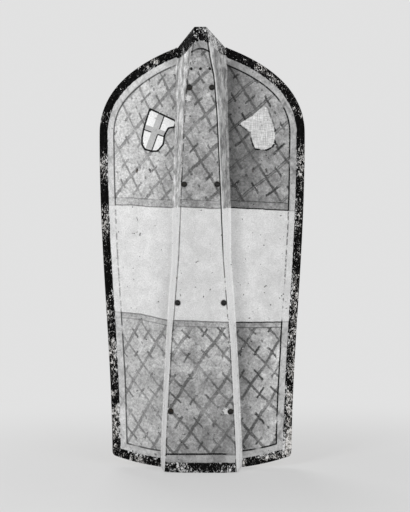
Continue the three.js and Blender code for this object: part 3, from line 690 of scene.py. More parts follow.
# Upper and lower edge of the white band, as pixels along them
band_top = [(99, 205), (130, 205), (151, 207), (173, 208), (179, 207), (219, 209), (226, 208), (300, 211)]
band_low = [(100, 312), (113, 312), (141, 314), (163, 319), (169, 320), (226, 322), (261, 322), (300, 322)]
top_x, top_y = np.array(band_top).T
low_x, low_y = np.array(band_low).T
above_band = (np.interp(photo_x, top_x, top_y) - photo_y) * pixel
under_band = (photo_y - np.interp(photo_x, low_x, low_y)) * pixel

# Strokes of the trellis in each field: their lean from the level in degrees, and a pixel on each.
# The first list falls to the right and the second to the left. Upper and lower fields are parted at
# the middle of the band.
band_middle_pixel = 262
trellis = {
    ("left", "upper"): (
        (63.5, [(131, 175), (135, 129), (171, 150), (176, 104)]),
        (48, [(135, 129), (147, 158), (160, 183)]),
    ),
    ("left", "lower"): (
        (53, [(141, 322), (134, 352), (134, 382), (138, 424)]),
        (60, [(134, 333), (143, 365), (150, 404), (157, 442)]),
    ),
    ("front", "upper"): (
        (60, [(228, 94), (200, 102), (195, 149)]),
        (45, [(201, 79), (206, 116), (201, 162), (214, 196)]),
    ),
    ("front", "lower"): (
        (46.5, [(214, 342), (199, 367), (184, 389), (180, 420)]),
        (56, [(180, 347), (199, 367), (205, 411), (226, 437)]),
    ),
    ("right", "upper"): (
        (58.5, [(244, 89), (243, 139), (236, 188)]),
        (40, [(244, 89), (245, 118), (240, 162), (277, 169)]),
    ),
    ("right", "lower"): (
        (46, [(279, 340), (256, 353), (253, 387), (253, 435)]),
        (56.5, [(246, 344), (266, 363), (268, 406)]),
    ),
}


def strokes_passed(lean, pixels, sense):
    """Counts the strokes up to each point: a whole number on a stroke, and even shares between."""
    across, down = math.sin(math.radians(lean)), math.cos(math.radians(lean))
    places = np.sort([px * across + sense * py * down for px, py in pixels])
    spacing = np.diff(places).mean()
    beyond = spacing * np.arange(1, 5)
    places = np.concatenate([places[0] - beyond[::-1], places, places[-1] + beyond])
    return np.interp(photo_x * across + sense * photo_y * down, places, np.arange(len(places)))


falling_right = np.zeros_like(x)
falling_left = np.zeros_like(x)
for (side, field), (right_family, left_family) in trellis.items():
    chosen = on_rib if side == "front" else ~on_rib & (np.sign(x) == (1 if side == "right" else -1))
    chosen = chosen & ((photo_y < band_middle_pixel) == (field == "upper"))
    falling_right[chosen] = strokes_passed(*right_family, -1)[chosen]
    falling_left[chosen] = strokes_passed(*left_family, 1)[chosen]

arc = bow_radius * np.arcsin(np.abs(x) / bow_radius)
outline_line = np.vstack([[(0, 0)], foot_curve, side_line[1:]])
outline_line[:, 0] = bow_radius * np.arcsin(outline_line[:, 0] / bow_radius)
flank_end = front_columns + round_columns + flank_columns - 1
nose_line = right_half[-1, [flank_end, front_columns - 1]][:, [0, 2]]
edge = distance_to_line(arc, z, outline_line)
flank = (np.abs(zone) > 1) & (np.abs(zone) < 2)
flank_edge = distance_to_line(np.abs(x), z, nose_line) * np.where(x > 0, 0.95, 0.72)
edge = np.where(flank, flank_edge, edge)
below_tip = nose_height - z + 0.008 * (1 - np.clip(x / 0.022, -1, 1) ** 2)
tip_edge = np.interp(below_tip, [0, 0.044, 0.063, 0.3], [0, 0.0225, 0.041, 0.25])
edge = np.where(on_board, np.minimum(z * 0.86, tip_edge), edge)
arris_x = flank_corners(z, canvas_proud, canvas_proud)[0][..., 0]
arris_away = np.where(on_board, arris_x - np.abs(x), -1.0)

rivet_shares = {"nose": 0.86678, "upper": 0.64965, "lower": 0.38235, "foot": 0.13754}
rivet_heights = {level: share * nose_height for level, share in rivet_shares.items()}
rivet_inset = 0.009
rivet_places = [(rib_at(height)[0] - rivet_inset, height) for height in rivet_heights.values()]
rivet_away = np.min([np.hypot(np.abs(x) - aside, z - height) for aside, height in rivet_places], axis=0)
rivet_away = np.where(on_board, rivet_away, 1.0)

# Losses beside four of the rivets: the pixel in the middle of each, and its radius in pixels
chips = [(190, 98, 3.0), (209.5, 94, 1.3), (228, 411.5, 2.7), (168.5, 410.5, 2.0)]
chip_away = [np.hypot(photo_x - px, photo_y - py) - radius for px, py, radius in chips]
chip_away = rib_pixel * np.min(chip_away, axis=0)
chip_away = np.where(on_board, chip_away, 1.0)

# Corners of the two small escutcheons as pixels. The left one has a cross on white, whose lower right
# angle is at crossing_pixel. The right one has been scraped back to the ground.
crossed_corners = [
    *[(150, 108), (177, 121), (175, 127), (169, 128), (165, 135), (164, 144)],
    *[(158, 151), (152, 151), (145, 149), (142, 144), (142, 137), (144, 127)],
]
scraped_corners = [
    *[(239, 124), (252, 116), (264, 106), (268, 107), (274, 122), (276, 129), (276, 142)],
    *[(273, 147), (267, 150), (255, 149), (252, 141), (251, 133), (245, 128)],
]
crossing_pixel = (158, 134)


def depth_inside(corners):
    """Distance to a closed outline, counted as positive inside it: a point lies inside where a
    level line from it crosses the outline an odd number of times."""
    corners = np.array(corners, float)
    after = np.roll(corners, -1, axis=0)
    away = distance_to_line(photo_x, photo_y, np.vstack([corners, corners[:1]]))
    level = photo_y[..., None]
    spans = (corners[:, 1] > level) != (after[:, 1] > level)
    lean = (after[:, 0] - corners[:, 0]) / (after[:, 1] - corners[:, 1] + 1e-9)
    crosses = spans & (photo_x[..., None] < corners[:, 0] + (level - corners[:, 1]) * lean)
    return panel_pixel * np.where(crosses.sum(-1) % 2 == 1, away, -away)


escutcheon_depth = np.where(x < 0, depth_inside(crossed_corners), depth_inside(scraped_corners))
cross_lean = math.radians(20)
lean_cos, lean_sin = math.cos(cross_lean), math.sin(cross_lean)
aside_pixels, above_pixels = photo_x - crossing_pixel[0], crossing_pixel[1] - photo_y
cross_right = panel_pixel * (aside_pixels * lean_cos - above_pixels * lean_sin)
cross_up = panel_pixel * (aside_pixels * lean_sin + above_pixels * lean_cos)

marks = {
    "zone": zone,
    "edge": edge,
    "arris": arris_away,
    "rivet": rivet_away,
    "chip": chip_away,
    "escutcheon": np.stack([escutcheon_depth, cross_right, cross_up], -1),
    "trellis": np.stack([falling_right, falling_left, 0 * x], -1),
    "band": np.stack([above_band, under_band, 0 * x], -1),
}


def flaking_nodes(recipe, given):
    """Old paint that has come off in small scales: clusters of fine noise cut at a level. Gives
    what paint is left, the raised lip round each loss, and the crackle of what has stayed."""
    place = given["Place"]
    broad = recipe.noise(place, 30.0, 3.0, 0.6)
    scales = recipe.noise(place, given["Scale"], 4.0, 0.68, 0.7)
    crumbs = recipe.noise(place, given["Scale"] * 2.4, 3.0, 0.7)
    mixed = scales * 0.5 + crumbs * 0.38 + broad * 0.12
    level = 0.65 - given["Amount"] * 0.24
    left = mixed.fall(level, level + 0.016)
    lip = mixed.rise(level - 0.04, level)
    crackle = recipe.cells(place, given["Scale"] * 1.4, "DISTANCE_TO_EDGE")
    crack = crackle.fall(0.0, 0.09)
    return {"Paint": left, "Lip": lip * left, "Crack": crack}


def weave_nodes(recipe, given):
    """Linen under paint: threads up and across as crossed sine ridges, broken by noise."""
    parts = recipe.parts(given["Place"])
    drift = recipe.noise(given["Place"], 60.0, 2.0) * 3.0
    pitch = 2 * math.pi / given["Pitch"]
    up = recipe.math("SINE", parts["Z"] * pitch + drift)
    over = recipe.math("SINE", parts["X"] * pitch + drift)
    patchy = recipe.noise(given["Place"], 35.0, 3.0, 0.6).rise(0.35, 0.65)
    return {"Height": recipe.most(up, over) * patchy}


flaking = shader_group(
    "flaking_paint", ("Place", "Scale", "Amount"), ("Paint", "Lip", "Crack"), flaking_nodes
)
weave = shader_group("linen_weave", ("Place", "Pitch"), ("Height",), weave_nodes)


def trellis_nodes(recipe, given):
    """Ragged trellis: strokes where a count is whole, short stubs across them halfway between two
    crossings, and a fleck in some of the lozenges. Gives how much paint the brush left."""
    place = given["Place"]

    def wandering(count, offset):
        drift = recipe.noise(recipe.vector("ADD", place, offset), 11.0, 3.0, 0.5)
        return count + (drift - 0.5) * 0.24

    right = wandering(given["Right"], (0.0, 0.0, 0.0))
    left = wandering(given["Left"], (3.1, 1.7, 0.9))

    def to_whole(value):
        share = recipe.math("FRACT", value + 0.5)
        return recipe.math("ABSOLUTE", share - 0.5)

    right_away, left_away = to_whole(right), to_whole(left)
    right_mid = 0.5 - right_away
    left_mid = 0.5 - left_away
    press = recipe.noise(place, 26.0, 3.0, 0.6)
    swell = press.rise(0.32, 0.68, 0.72, 1.22)
    rag = (recipe.noise(place, 210.0, 3.0, 0.65) - 0.5) * 0.08

    def stroke(away, width):
        reach = width * swell
        return (away + rag).fall(reach, reach + 0.022)

    reach = recipe.noise(place, 21.0, 1.0).rise(0.35, 0.65, 0.1, 0.3)

    def stub(middle, away):
        thin = (middle + rag).fall(0.028, 0.052)
        return thin * away.fall(reach, reach + 0.04)

    apart = recipe.math("SQRT", right_mid * right_mid * 2.2 + left_mid * left_mid)
    lozenge = recipe.joined(recipe.math("FLOOR", right), recipe.math("FLOOR", left))
    drawn_lot = recipe.node("ShaderNodeTexWhiteNoise", {"Vector": lozenge}, noise_dimensions="2D")
    marked = recipe.outputs(drawn_lot)["Value"].rise(0.4, 0.45)
    fleck = (apart + rag).fall(0.035, 0.07) * marked
    broad = stroke(left_away, 0.046)
    core = left_away.fall(0.012, 0.034) * given["Hollow"]
    broad = broad * (1.0 - core * 0.5)
    narrow = stroke(right_away, 0.034)
    twigs = recipe.most(stub(left_mid, right_away), stub(right_mid, left_away))
    drawn = recipe.most(recipe.most(broad, narrow) * 0.84, twigs, fleck * 0.8)
    elsewhere = recipe.vector("ADD", place, (1.3, 0.2, 2.2))
    wet = recipe.noise(elsewhere, 19.0, 3.0, 0.6).rise(0.34, 0.6, 0.52, 1.0)
    rubbed = recipe.noise(place, 300.0, 3.0, 0.7).rise(0.34, 0.54, 0.62, 1.0)
    return {"Paint": drawn * wet * rubbed}


trellis_group = shader_group(
    "ragged_trellis", ("Place", "Right", "Left", "Hollow"), ("Paint",), trellis_nodes
)

ground_white = tone(222)
edge_black = tone(4)
border_width = 0.0225
fillet_line = 0.041
upper_stripe = 0.0205
lower_stripe = 0.0155


def border_paint(recipe, place, under, more=0.0):
    """Black edge paint over what lies under it, with scales lost down to the white ground. Gives the
    colour and what is left of the paint."""
    height = recipe.parts(place)["Z"]
    low = height.rise(-0.6, -0.1, 0.2, 0.0)
    patch = recipe.noise(place, 14.0, 4.0, 0.62).rise(0.34, 0.66, 0.12, 0.6)
    squat = recipe.vector("MULTIPLY", place, (1.0, 1.0, 0.6))
    flakes = recipe.use(flaking, place=squat, scale=185.0, amount=patch + low + more)
    residue = recipe.noise(place, 150.0, 3.0, 0.6).rise(0.46, 0.62)
    bare = recipe.blend(residue, ground_white, tone(128))
    black = recipe.blend(recipe.noise(place, 150.0, 3.0).rise(0.5, 0.72), edge_black, tone(26))
    return recipe.blend(flakes["Paint"], recipe.blend(0.85, under, bare), black), flakes


def paint_setting(recipe):
    """What the layers of paint share: where a point lies, and the noises that break them up."""
    at = SimpleNamespace(place=recipe.place(), zone=recipe.attribute("zone"), edge=recipe.attribute("edge"))
    at.height = recipe.parts(at.place)["Z"]
    at.side = recipe.math("ABSOLUTE", at.zone)
    at.front = at.side.fall(0.985, 1.015)
    at.panel = at.side.rise(1.97, 2.03)
    at.flank = 1.0 - (at.front + at.panel)
    at.rightward = at.zone.rise(-0.2, 0.2)
    at.right = at.rightward * at.panel
    at.left = (1.0 - at.rightward) * at.panel
    at.low = at.height.fall(-0.15, 0.05)
    at.outer = at.side.rise(2.05, 2.85)
    at.broad = recipe.noise(at.place, 6.5, 4.0, 0.6)
    at.cloudy = recipe.noise(at.place, 26.0, 5.0, 0.7)
    at.gritty = recipe.noise(at.place, 340.0, 3.0, 0.7)
    ragged = (recipe.noise(at.place, 48.0, 3.0) - 0.5) * 0.003
    band = recipe.mark("band")
    at.above = band["X"] + ragged
    at.under = band["Y"] + ragged
    at.band = at.above.fall(-0.001, 0.001) * at.under.fall(-0.001, 0.001)
    return at


def by_side(recipe, at, left, front, right):
    """A tone for each side of the rib."""
    return recipe.blend(at.right, recipe.blend(at.left, tone(front), tone(left)), tone(right))


def field_layer(recipe, at):
    """Grey fields under the trellis, clouded by dirt. Right of the rib the panel is darker near the rib,
    partly dirt and partly painted shadow of the rib.
    """
    left = recipe.blend(at.outer, tone(178), tone(203))
    # The right panel is darker next to the rib in both fields: partly dirt, partly a painted shadow cast by
    # the rib.
    right_high = recipe.blend(at.outer, tone(102), tone(158))
    right_low = recipe.blend(at.outer, tone(150), tone(188))
    front_low = recipe.blend(at.height.rise(-0.56, -0.2), tone(144), tone(172))
    front = recipe.blend(at.low, tone(162), front_low)
    field = recipe.blend(at.left, front, recipe.blend(at.low, left, tone(182)))
    field = recipe.blend(at.right, field, recipe.blend(at.low, right_high, right_low))
    patches = at.broad * 0.6 + at.cloudy * 0.8
    clouds = patches.rise(0.5, 0.9, 0.66, 1.3)
    calm = 1.0 + at.left * at.outer * -0.55 + at.left * -0.2
    clouds = 1.0 + (clouds - 1.0) * calm
    field = recipe.shade(field, clouds)
    specks = recipe.noise(recipe.vector("ADD", at.place, (0.9, 0.4, 0.2)), 150.0, 4.0, 0.75)
    field = recipe.shade(field, specks.rise(0.36, 0.62, 0.74, 1.2))
    counts = recipe.mark("trellis")
    hollow = at.right * (1.0 - at.low)
    strokes = recipe.use(trellis_group, place=at.place, right=counts["X"], left=counts["Y"], hollow=hollow)
    opacity = 0.9 + at.left * -0.04
    at.strokes = strokes["Paint"] * opacity
    stripes = recipe.most(
        at.above.rise(0.0, 0.001) * at.above.fall(upper_stripe - 0.001, upper_stripe),
        at.under.rise(0.0, 0.001) * at.under.fall(lower_stripe - 0.001, lower_stripe),
    )
    at.strokes = at.strokes * (1.0 - stripes)
    ink = by_side(recipe, at, 88, 60, 20)
    return recipe.blend(at.strokes, recipe.shade(field, 1.0 + stripes * -0.12), ink)


def band_layer(recipe, at, colour):
    """White band, edged by two thin lines above and two below."""
    white = recipe.shade(by_side(recipe, at, 216, 203, 206), at.cloudy.rise(0.3, 0.72, 0.88, 1.07))
    colour = recipe.blend(at.band, colour, white)
    firm = at.gritty.rise(0.3, 0.55, 0.55, 1.0)
    edges = recipe.most(*[away.line(0.0013, 0.0011, 0.0012) for away in (at.above, at.under)])
    strength = 0.52 + at.right * 0.46
    colour = recipe.blend(edges * strength * firm, colour, tone(14))
    outer = ((at.above, upper_stripe), (at.under, lower_stripe))
    outer = recipe.most(*[away.line(stripe, 0.0007, 0.0013) for away, stripe in outer])
    strength = 0.44 + at.right * 0.28
    return recipe.blend(outer * strength * firm, colour, tone(40))


def fillet_layer(recipe, at, colour):
    """Pale fillet inside the black edge, ended by a thin black line that has worn away in places."""
    shown = (1.0 - at.band * 0.9) * (1.0 - at.flank)
    rubbed = at.cloudy.rise(0.36, 0.6, 0.4, 0.78)
    inside = at.edge.fall(fillet_line, fillet_line + 0.001) * shown * rubbed
    pale = recipe.shade(by_side(recipe, at, 204, 160, 182), at.cloudy.rise(0.34, 0.66, 0.74, 1.14))
    colour = recipe.blend(inside, colour, pale)
    wander = at.edge + (at.broad - 0.5) * 0.005
    thin = wander.line(fillet_line, 0.0016, 0.001)
    kept = recipe.noise(at.place, 21.0, 2.0).rise(0.3, 0.42, 0.2, 1.0)
    firm = at.gritty.rise(0.28, 0.5, 0.5, 1.0)
    weight = 0.82 + at.right * 0.18 + at.front * 0.16
    broken = recipe.noise(at.place, 90.0, 3.0, 0.7).rise(0.44, 0.54)
    crossing = (1.0 - at.band * (1.0 - broken * 0.7)) * (1.0 - at.flank)
    return recipe.blend(thin * kept * firm * weight * crossing, colour, tone(6))


def rib_layer(recipe, at, colour):
    """Flanks of the rib, plain and pale under runs of dirt, with painted light and shade: the right flank
    is painted darker than the left above the band and paler in the band and below, the foot of each
    flank is darker with dirt and painted shade, and the pale strip beside the right arris is partly
    worn and partly painted highlight. Thin lines run down the arrises.
    """

    # Each flank has its own tone for how the light falls on it: painted shade on the right flank above the
    # band, painted light on it in the band and below.
    def flank_tone_for_light(left, right):
        return recipe.blend(at.rightward, tone(left), tone(right))

    streaks = recipe.streaks(at.place, (90.0, 90.0, 13.0), 5.0, 0.72)
    smears = recipe.noise(at.place, 38.0, 5.0, 0.7).rise(0.38, 0.6, 0.6, 1.16)
    clean = recipe.shade(flank_tone_for_light(236, 243), streaks.rise(0.3, 0.7, 0.93, 1.06))
    # Above the band both flanks carry runs of dust, and the right one is painted darker as shade.
    high = flank_tone_for_light(226, 188)
    dust_and_shade = recipe.shade(high, streaks.rise(0.36, 0.62, 0.52, 1.22) * smears)
    worn = recipe.shade(flank_tone_for_light(236, 246), streaks.rise(0.34, 0.64, 0.86, 1.08))
    pale = recipe.blend(at.band, recipe.blend(at.low, dust_and_shade, worn), clean)
    # Darker towards the foot of each flank beside the panel: dirt in patches, with painted shade in the
    # corner between flank and panel.
    dirt_and_corner_shade = at.side.rise(1.7, 2.0) * (1.0 - at.band)
    dirt_and_corner_shade = dirt_and_corner_shade * recipe.noise(at.place, 70.0, 4.0, 0.7).rise(0.42, 0.6)
    pale = recipe.shade(pale, 1.0 + dirt_and_corner_shade * -0.24)
    # A pale strip down the right flank beside the arris: partly rubbed down to the ground, partly a painted
    # highlight.
    rubbed = at.side.fall(1.06, 1.12) * at.rightward * streaks.rise(0.3, 0.5, 0.4, 1.0)
    pale = recipe.blend(rubbed, pale, tone(240))
    colour = recipe.blend(at.flank, colour, pale)
    arris = recipe.attribute("arris")
    broken = recipe.streaks(at.place, (20.0, 20.0, 55.0), 3.0, 0.6)
    dashes = broken.rise(0.42, 0.52)
    solid = at.height.rise(-0.1, 0.0)
    right = arris.line(0.0024, 0.001, 0.0012) * at.rightward * recipe.most(solid, dashes * 0.8)
    left = (
        arris.line(0.0036, 0.0009, 0.0012)
        * (1.0 - at.rightward)
        * recipe.most(at.band * 0.6, dashes * 0.75)
    )
    return recipe.blend(recipe.most(left, right) * 0.95, colour, tone(18))


def escutcheon_layer(recipe, at, colour):
    """Two small escutcheons. The left one is white with a plain grey cross, and the right one has
    been scraped off, so that threads show through what is left of the ground."""
    parts = recipe.mark("escutcheon")
    inside = parts["X"].rise(0.0, 0.0008)
    outline = parts["X"].line(0.0004, 0.0019, 0.001)
    aside, upward = parts["Y"], parts["Z"]
    pale = (0.0 - aside).fall(0.017, 0.019)
    upright = aside.fall(-0.0004, 0.0004) * pale
    level = upward.rise(-0.0004, 0.0004) * upward.fall(0.013, 0.015)
    cross = recipe.most(upright, level)
    white = recipe.shade(tone(234), at.cloudy.rise(0.3, 0.7, 0.9, 1.04))
    drawn = recipe.blend(cross * 0.85, white, recipe.shade(tone(168), at.cloudy.rise(0.3, 0.7, 0.8, 1.1)))
    thin = recipe.most(
        aside.line(0.0, 0.0012, 0.0008) * (1.0 - level), upward.line(0.0, 0.0012, 0.0008) * (1.0 - upright)
    )
    drawn = recipe.blend(thin * 0.95, drawn, tone(12))
    colour = recipe.blend(inside * at.left, colour, drawn)
    colour = recipe.blend(outline * at.left * 0.98, colour, tone(6))
    up = recipe.streaks(at.place, (420.0, 1.0, 40.0), 2.0, 0.6)
    over = recipe.streaks(at.place, (40.0, 1.0, 420.0), 2.0, 0.6)
    scraped = recipe.shade(tone(208), (up + over).rise(0.8, 1.22, 0.6, 1.12))
    torn = parts["X"] + (at.cloudy - 0.5) * 0.01
    bare = torn.rise(0.0, 0.0012)
    colour = recipe.blend(bare * at.right, colour, scraped)
    across = recipe.parts(at.place)["X"]
    kept = recipe.most(at.height.fall(0.312, 0.322), across.rise(0.17, 0.176) * 0.6)
    kept = kept * recipe.noise(at.place, 60.0, 3.0).rise(0.42, 0.55, 0.1, 1.0)
    return recipe.blend(outline * at.right * kept, colour, tone(24))


def wear_layer(recipe, at, colour):
    """Small losses down to the ground, chips round the rivets, dark specks and grit."""
    at.losses = recipe.noise(at.place, 60.0, 5.0, 0.76).rise(0.668, 0.682)
    rivet = recipe.attribute("rivet")
    crumbs = recipe.noise(at.place, 150.0, 4.0, 0.7)
    torn = recipe.attribute("chip") + (crumbs - 0.5) * 0.032
    chips = torn.fall(0.0, 0.0008)
    at.losses = recipe.most(at.losses, chips * 0.85)
    colour = recipe.blend(at.losses * 0.75, colour, ground_white)
    rust = rivet.rise(0.007, 0.011, 0.55, 0.0) * at.cloudy.rise(0.35, 0.6)
    colour = recipe.blend(rust, colour, tone(44, 0.10))
    sparse = recipe.noise(recipe.vector("ADD", at.place, (0.37, 0.11, 0.7)), 105.0, 2.0, 0.55)
    colour = recipe.blend(sparse.rise(0.7, 0.73) * 0.85, colour, tone(40))
    return recipe.shade(colour, at.gritty.rise(0.25, 0.75, 0.82, 1.14))


def canvas_paint(recipe):
    """All the layers of paint on the canvas, from the fields to the flaked black edge."""
    at = paint_setting(recipe)
    colour = band_layer(recipe, at, field_layer(recipe, at))
    colour = rib_layer(recipe, at, fillet_layer(recipe, at, colour))
    colour = wear_layer(recipe, at, escutcheon_layer(recipe, at, colour))
    waver = (recipe.noise(at.place, 75.0, 3.0) - 0.5) * 0.004
    border = (at.edge + waver).fall(border_width - 0.0006, border_width + 0.0006)
    bare_nose = (
        at.flank * 0.05
        + at.flank * at.rightward * 0.34
        + at.front * at.height.rise(0.0, 0.4, -0.14, 0.12)
    )
    painted, flakes = border_paint(recipe, at.place, colour, bare_nose)
    colour = recipe.blend(border, colour, painted)
    cloth = recipe.use(weave, place=at.place, pitch=0.0013)
    black = border * flakes["Paint"]
    relief = (
        cloth["Height"] * 0.05
        + at.strokes * (1.0 - at.band) * 0.1
        + border * flakes["Lip"] * 0.5
        + black * 0.45
        + border * flakes["Crack"] * -0.25
        + at.losses * -0.5
        + at.cloudy * 0.8
        + at.gritty * 0.1
    )
    roughness = 0.84 + black * -0.12 + at.strokes * -0.04
    return colour, roughness, recipe.bump(relief, 0.0006)


painted_canvas = finish_of("painted_gesso_canvas", canvas_paint, specular=0.06)
piece = closed_shell("painted_front", front, front - outward * canvas_thickness, marks)
settle(piece, ["front_canvas"], shield_body, painted_canvas)


# Rim. Strips of rawhide are folded wet over the edge, shrink on it as they dry, and are painted black
# in front with the edge of the canvas. One runs up each side to the nose and one lies under each foot.
rim_lip = 0.015
rim_thickness = 0.0012
rim_gap = 0.0003
rim_corner = 0.0022
rim_front_radius = bow_radius + canvas_proud + rim_gap + rim_thickness
lining_thickness = 0.001
rim_back_radius = bow_radius - board_thickness - lining_thickness - 2 * rim_gap - rim_thickness
foot_rim_reach = corner_half - rim_lip - corner_round


def lengths_along(line):
    """Length of a line from its start to each of its points."""
    return np.concatenate([[0], np.cumsum(np.linalg.norm(np.diff(line, axis=0), axis=1))])


def points_along(line, wanted):
    """Points of a line at wanted lengths from its start."""
    return np.stack([np.interp(wanted, lengths_along(line), column) for column in line.T], -1)


def even_steps(line, count):
    """Points at even distances along a line."""
    return points_along(line, np.linspace(0, lengths_along(line)[-1], count))


def unit(vectors):
    """Vectors brought to a length of 1."""
    return vectors / np.linalg.norm(vectors, axis=-1, keepdims=True)


def line_normals(line):
    """Unit normals of a line in its plane, to the right of its way."""
    ahead = unit(np.gradient(line, axis=0))
    return np.stack([ahead[:, 1], -ahead[:, 0]], -1)


def rim_grids(line, sign):
    """Outer and inner grid of a folded strip along a line of the outline. The section runs from the
    lip in front round the edge to the lip behind, and each lip wavers by part of a millimetre."""
    normal = line_normals(line)
    along = lengths_along(line)
    waver = 0.0005 * np.sin(61 * along) + 0.0004 * np.sin(143 * along + 1) + 0.0002 * np.sin(397 * along)
    inset = line - normal * (rim_lip + waver)[:, None]
    low = line[:, 1] < corner_height + rim_lip
    inset[low, 0] = np.minimum(inset[low, 0], corner_half - rim_lip)
    above_foot = np.interp(inset[low, 0], foot_curve[:, 0], foot_curve[:, 1]) + rim_lip
    inset[low, 1] = np.maximum(inset[low, 1], above_foot)

    def skin(depth, corner):
        """Distances inwards and radii of the section, sunk by a depth below the outer surface."""
        front = rim_front_radius - depth
        back = rim_back_radius + depth
        out = depth - rim_gap - rim_thickness
        turn = np.linspace(0, np.pi / 2, 5)
        lip = np.linspace(rim_lip, out + corner + 0.001, 9)
        bend = out + corner * (1 - np.sin(turn))
        sunk = corner * (1 - np.cos(turn))
        inwards = np.concatenate([lip, bend, bend[::-1], lip[::-1]])
        front_radii = np.concatenate([0 * lip + front, front - sunk])
        back_radii = np.concatenate([back + sunk[::-1], 0 * lip + back])
        return inwards, np.concatenate([front_radii, back_radii])

    def laid(depth, corner):
        inwards, radii = skin(depth, corner)
        share = inwards / rim_lip
        plan = line[:, None] + (inset - line)[:, None] * np.maximum(share, 0)[None, :, None]
        plan = plan + normal[:, None] * np.maximum(-inwards, 0)[None, :, None]
        x = plan[..., 0]
        bulge = 0.00012 * np.sin(83 * along)[:, None] * np.clip(1 - share, 0, 1)[None]
        away = np.sign(radii - bow_radius + board_thickness / 2)
        return np.stack([sign * x, bow_y(radii + away * bulge, x), plan[..., 1]], -1)

    fold = np.linspace(-1, 1, len(skin(0, rim_corner)[0]))
    marks = {"fold": np.broadcast_to(fold, (len(line), len(fold)))}
    return laid(0, rim_corner), laid(rim_thickness, rim_corner - rim_thickness), marks


def rim_paint(recipe):
    """Black paint in front and over the edge, ending in a ragged line behind on bare rawhide."""
    place = recipe.place()
    fold = recipe.attribute("fold")
    cloudy = recipe.noise(place, 30.0, 4.0, 0.65)
    hide = recipe.blend(cloudy.rise(0.3, 0.7), tone(126, 0.13), tone(172, 0.11))
    fibre = recipe.noise(place, 260.0, 3.0, 0.6)
    hide = recipe.shade(hide, fibre.rise(0.3, 0.7, 0.84, 1.08))
    painted, flakes = border_paint(recipe, place, hide)
    ragged = fold + (recipe.noise(place, 70.0, 4.0) - 0.5) * 0.5
    front_side = ragged.fall(0.14, 0.2)
    colour = recipe.blend(front_side, hide, painted)
    black = front_side * flakes["Paint"]
    relief = (
        black * 0.5
        + front_side * flakes["Lip"] * 0.5
        + front_side * flakes["Crack"] * -0.25
        + cloudy * 0.8
        + fibre * 0.2
    )
    return (colour, 0.8 + black * -0.06, recipe.bump(relief, 0.0006))


rawhide = finish_of("painted_rawhide", rim_paint, specular=0.06)
whole_side = np.vstack([foot_curve, side_line[1:]])
edge_run = whole_side[(whole_side[:, 0] > foot_rim_reach) | (whole_side[:, 1] > corner_height)]
nose_base = float(on_flank_line(0.0, flank_corners(arch_height, canvas_proud, canvas_proud), 1)) + rim_gap
edge_run = np.vstack([edge_run[edge_run[:, 0] > nose_base + 0.002], [(nose_base + 0.001, arch_height)]])
rib_base = rib_bases[0] + canvas_proud + rim_gap
foot_run = even_steps(foot_curve, 200)
foot_run = foot_run[(foot_run[:, 0] > rib_base) & (foot_run[:, 0] < foot_rim_reach - rim_gap)]
for side, sign in sides:
    for name, run in (("edge", even_steps(edge_run, 420)), ("foot", even_steps(foot_run, 60))):
        piece = closed_shell(f"{side}_rawhide_{name}", *rim_grids(run, sign))
        settle(piece, [f"{side}_{name}_rim"], shield_body, rawhide)


# Back lining. Coarse unbleached linen is glued over the back of each panel, from the edge to the rim
# of the channel, where it is cut off with a knife and has frayed.
lining_front = bow_radius - board_thickness - rim_gap
lining_back = lining_front - lining_thickness
cheek_thickness = 0.006


def channel_half(height, y):
    """Half width of the rib's channel where it is y deep."""
    return on_flank_line(y, flank_corners(height, -cheek_thickness, 0.005), 1)


def lining_grid(radius, sign):
    """Right or left lining at a radius: rows follow the foot's curve and columns run to the edge."""
    row = skin_rows(210)
    near = row.middle_z
    for _ in range(3):
        start = channel_half(near, bow_y(radius, rib_at(near)[1]))
        near = level_at(start, row)
    start = start + 0.0006 + 0.0005 * np.sin(170 * near) * np.sin(61 * near + 2)
    x = start + np.linspace(0, 1, 56)[:, None] * (np.maximum(row.edge_x, start + 0.001) - start)
    z = level_at(np.minimum(x, row.edge_x), row)
    wavy = 2.2 * unevenness(x * sign, z) * eased(np.minimum(x - start, row.edge_x - x), 0.014, 0.03)
    return np.stack([sign * x, bow_y(radius - wavy, x), z], -1).swapaxes(0, 1)


def lining_cloth(recipe):
    """Coarse linen, browned by glue along the seams of the planks and by hands near the grip."""
    place = recipe.place()
    parts = recipe.parts(place)
    cloth = recipe.use(weave, place=place, pitch=0.0021)
    dirt = recipe.use(grime, place=place, scale=9.0)
    broad = recipe.noise(place, 5.0, 4.0, 0.6)
    threads = recipe.streaks(place, (30.0, 30.0, 420.0), 2.0, 0.6)
    weft = recipe.streaks(place, (420.0, 420.0, 30.0), 2.0, 0.6)
    linen = recipe.blend(broad.rise(0.35, 0.65), tone(124, 0.09), tone(160, 0.08))
    linen = recipe.shade(linen, (threads + weft).rise(0.7, 1.3, 0.82, 1.12))
    aside = recipe.math("ABSOLUTE", parts["X"])
    glue = (aside + broad * 0.02).line(0.182, 0.004, 0.018)
    linen = recipe.blend(glue * 0.35, linen, tone(88, 0.13))
    handled = aside.fall(0.05, 0.13) * parts["Z"].rise(-0.32, 0.0)
    linen = recipe.blend(handled * 0.3, linen, tone(78, 0.13))
    linen = recipe.blend(dirt["Tone"] * 0.38, linen, tone(86, 0.1))
    linen = recipe.blend(dirt["Speck"] * 0.4, linen, tone(58, 0.05))
    relief = cloth["Height"] * 0.5 + threads * 0.6 + broad
    return linen, 0.86 + glue * -0.12, recipe.bump(relief, 0.0007)


lining_linen = finish_of("glued_linen", lining_cloth, specular=0.25)
for side, sign in sides:
    piece = closed_shell(
        f"{side}_linen_lining", lining_grid(lining_back, sign), lining_grid(lining_front, sign)
    )
    settle(piece, [f"{side}_back_lining"], shield_body, lining_linen)


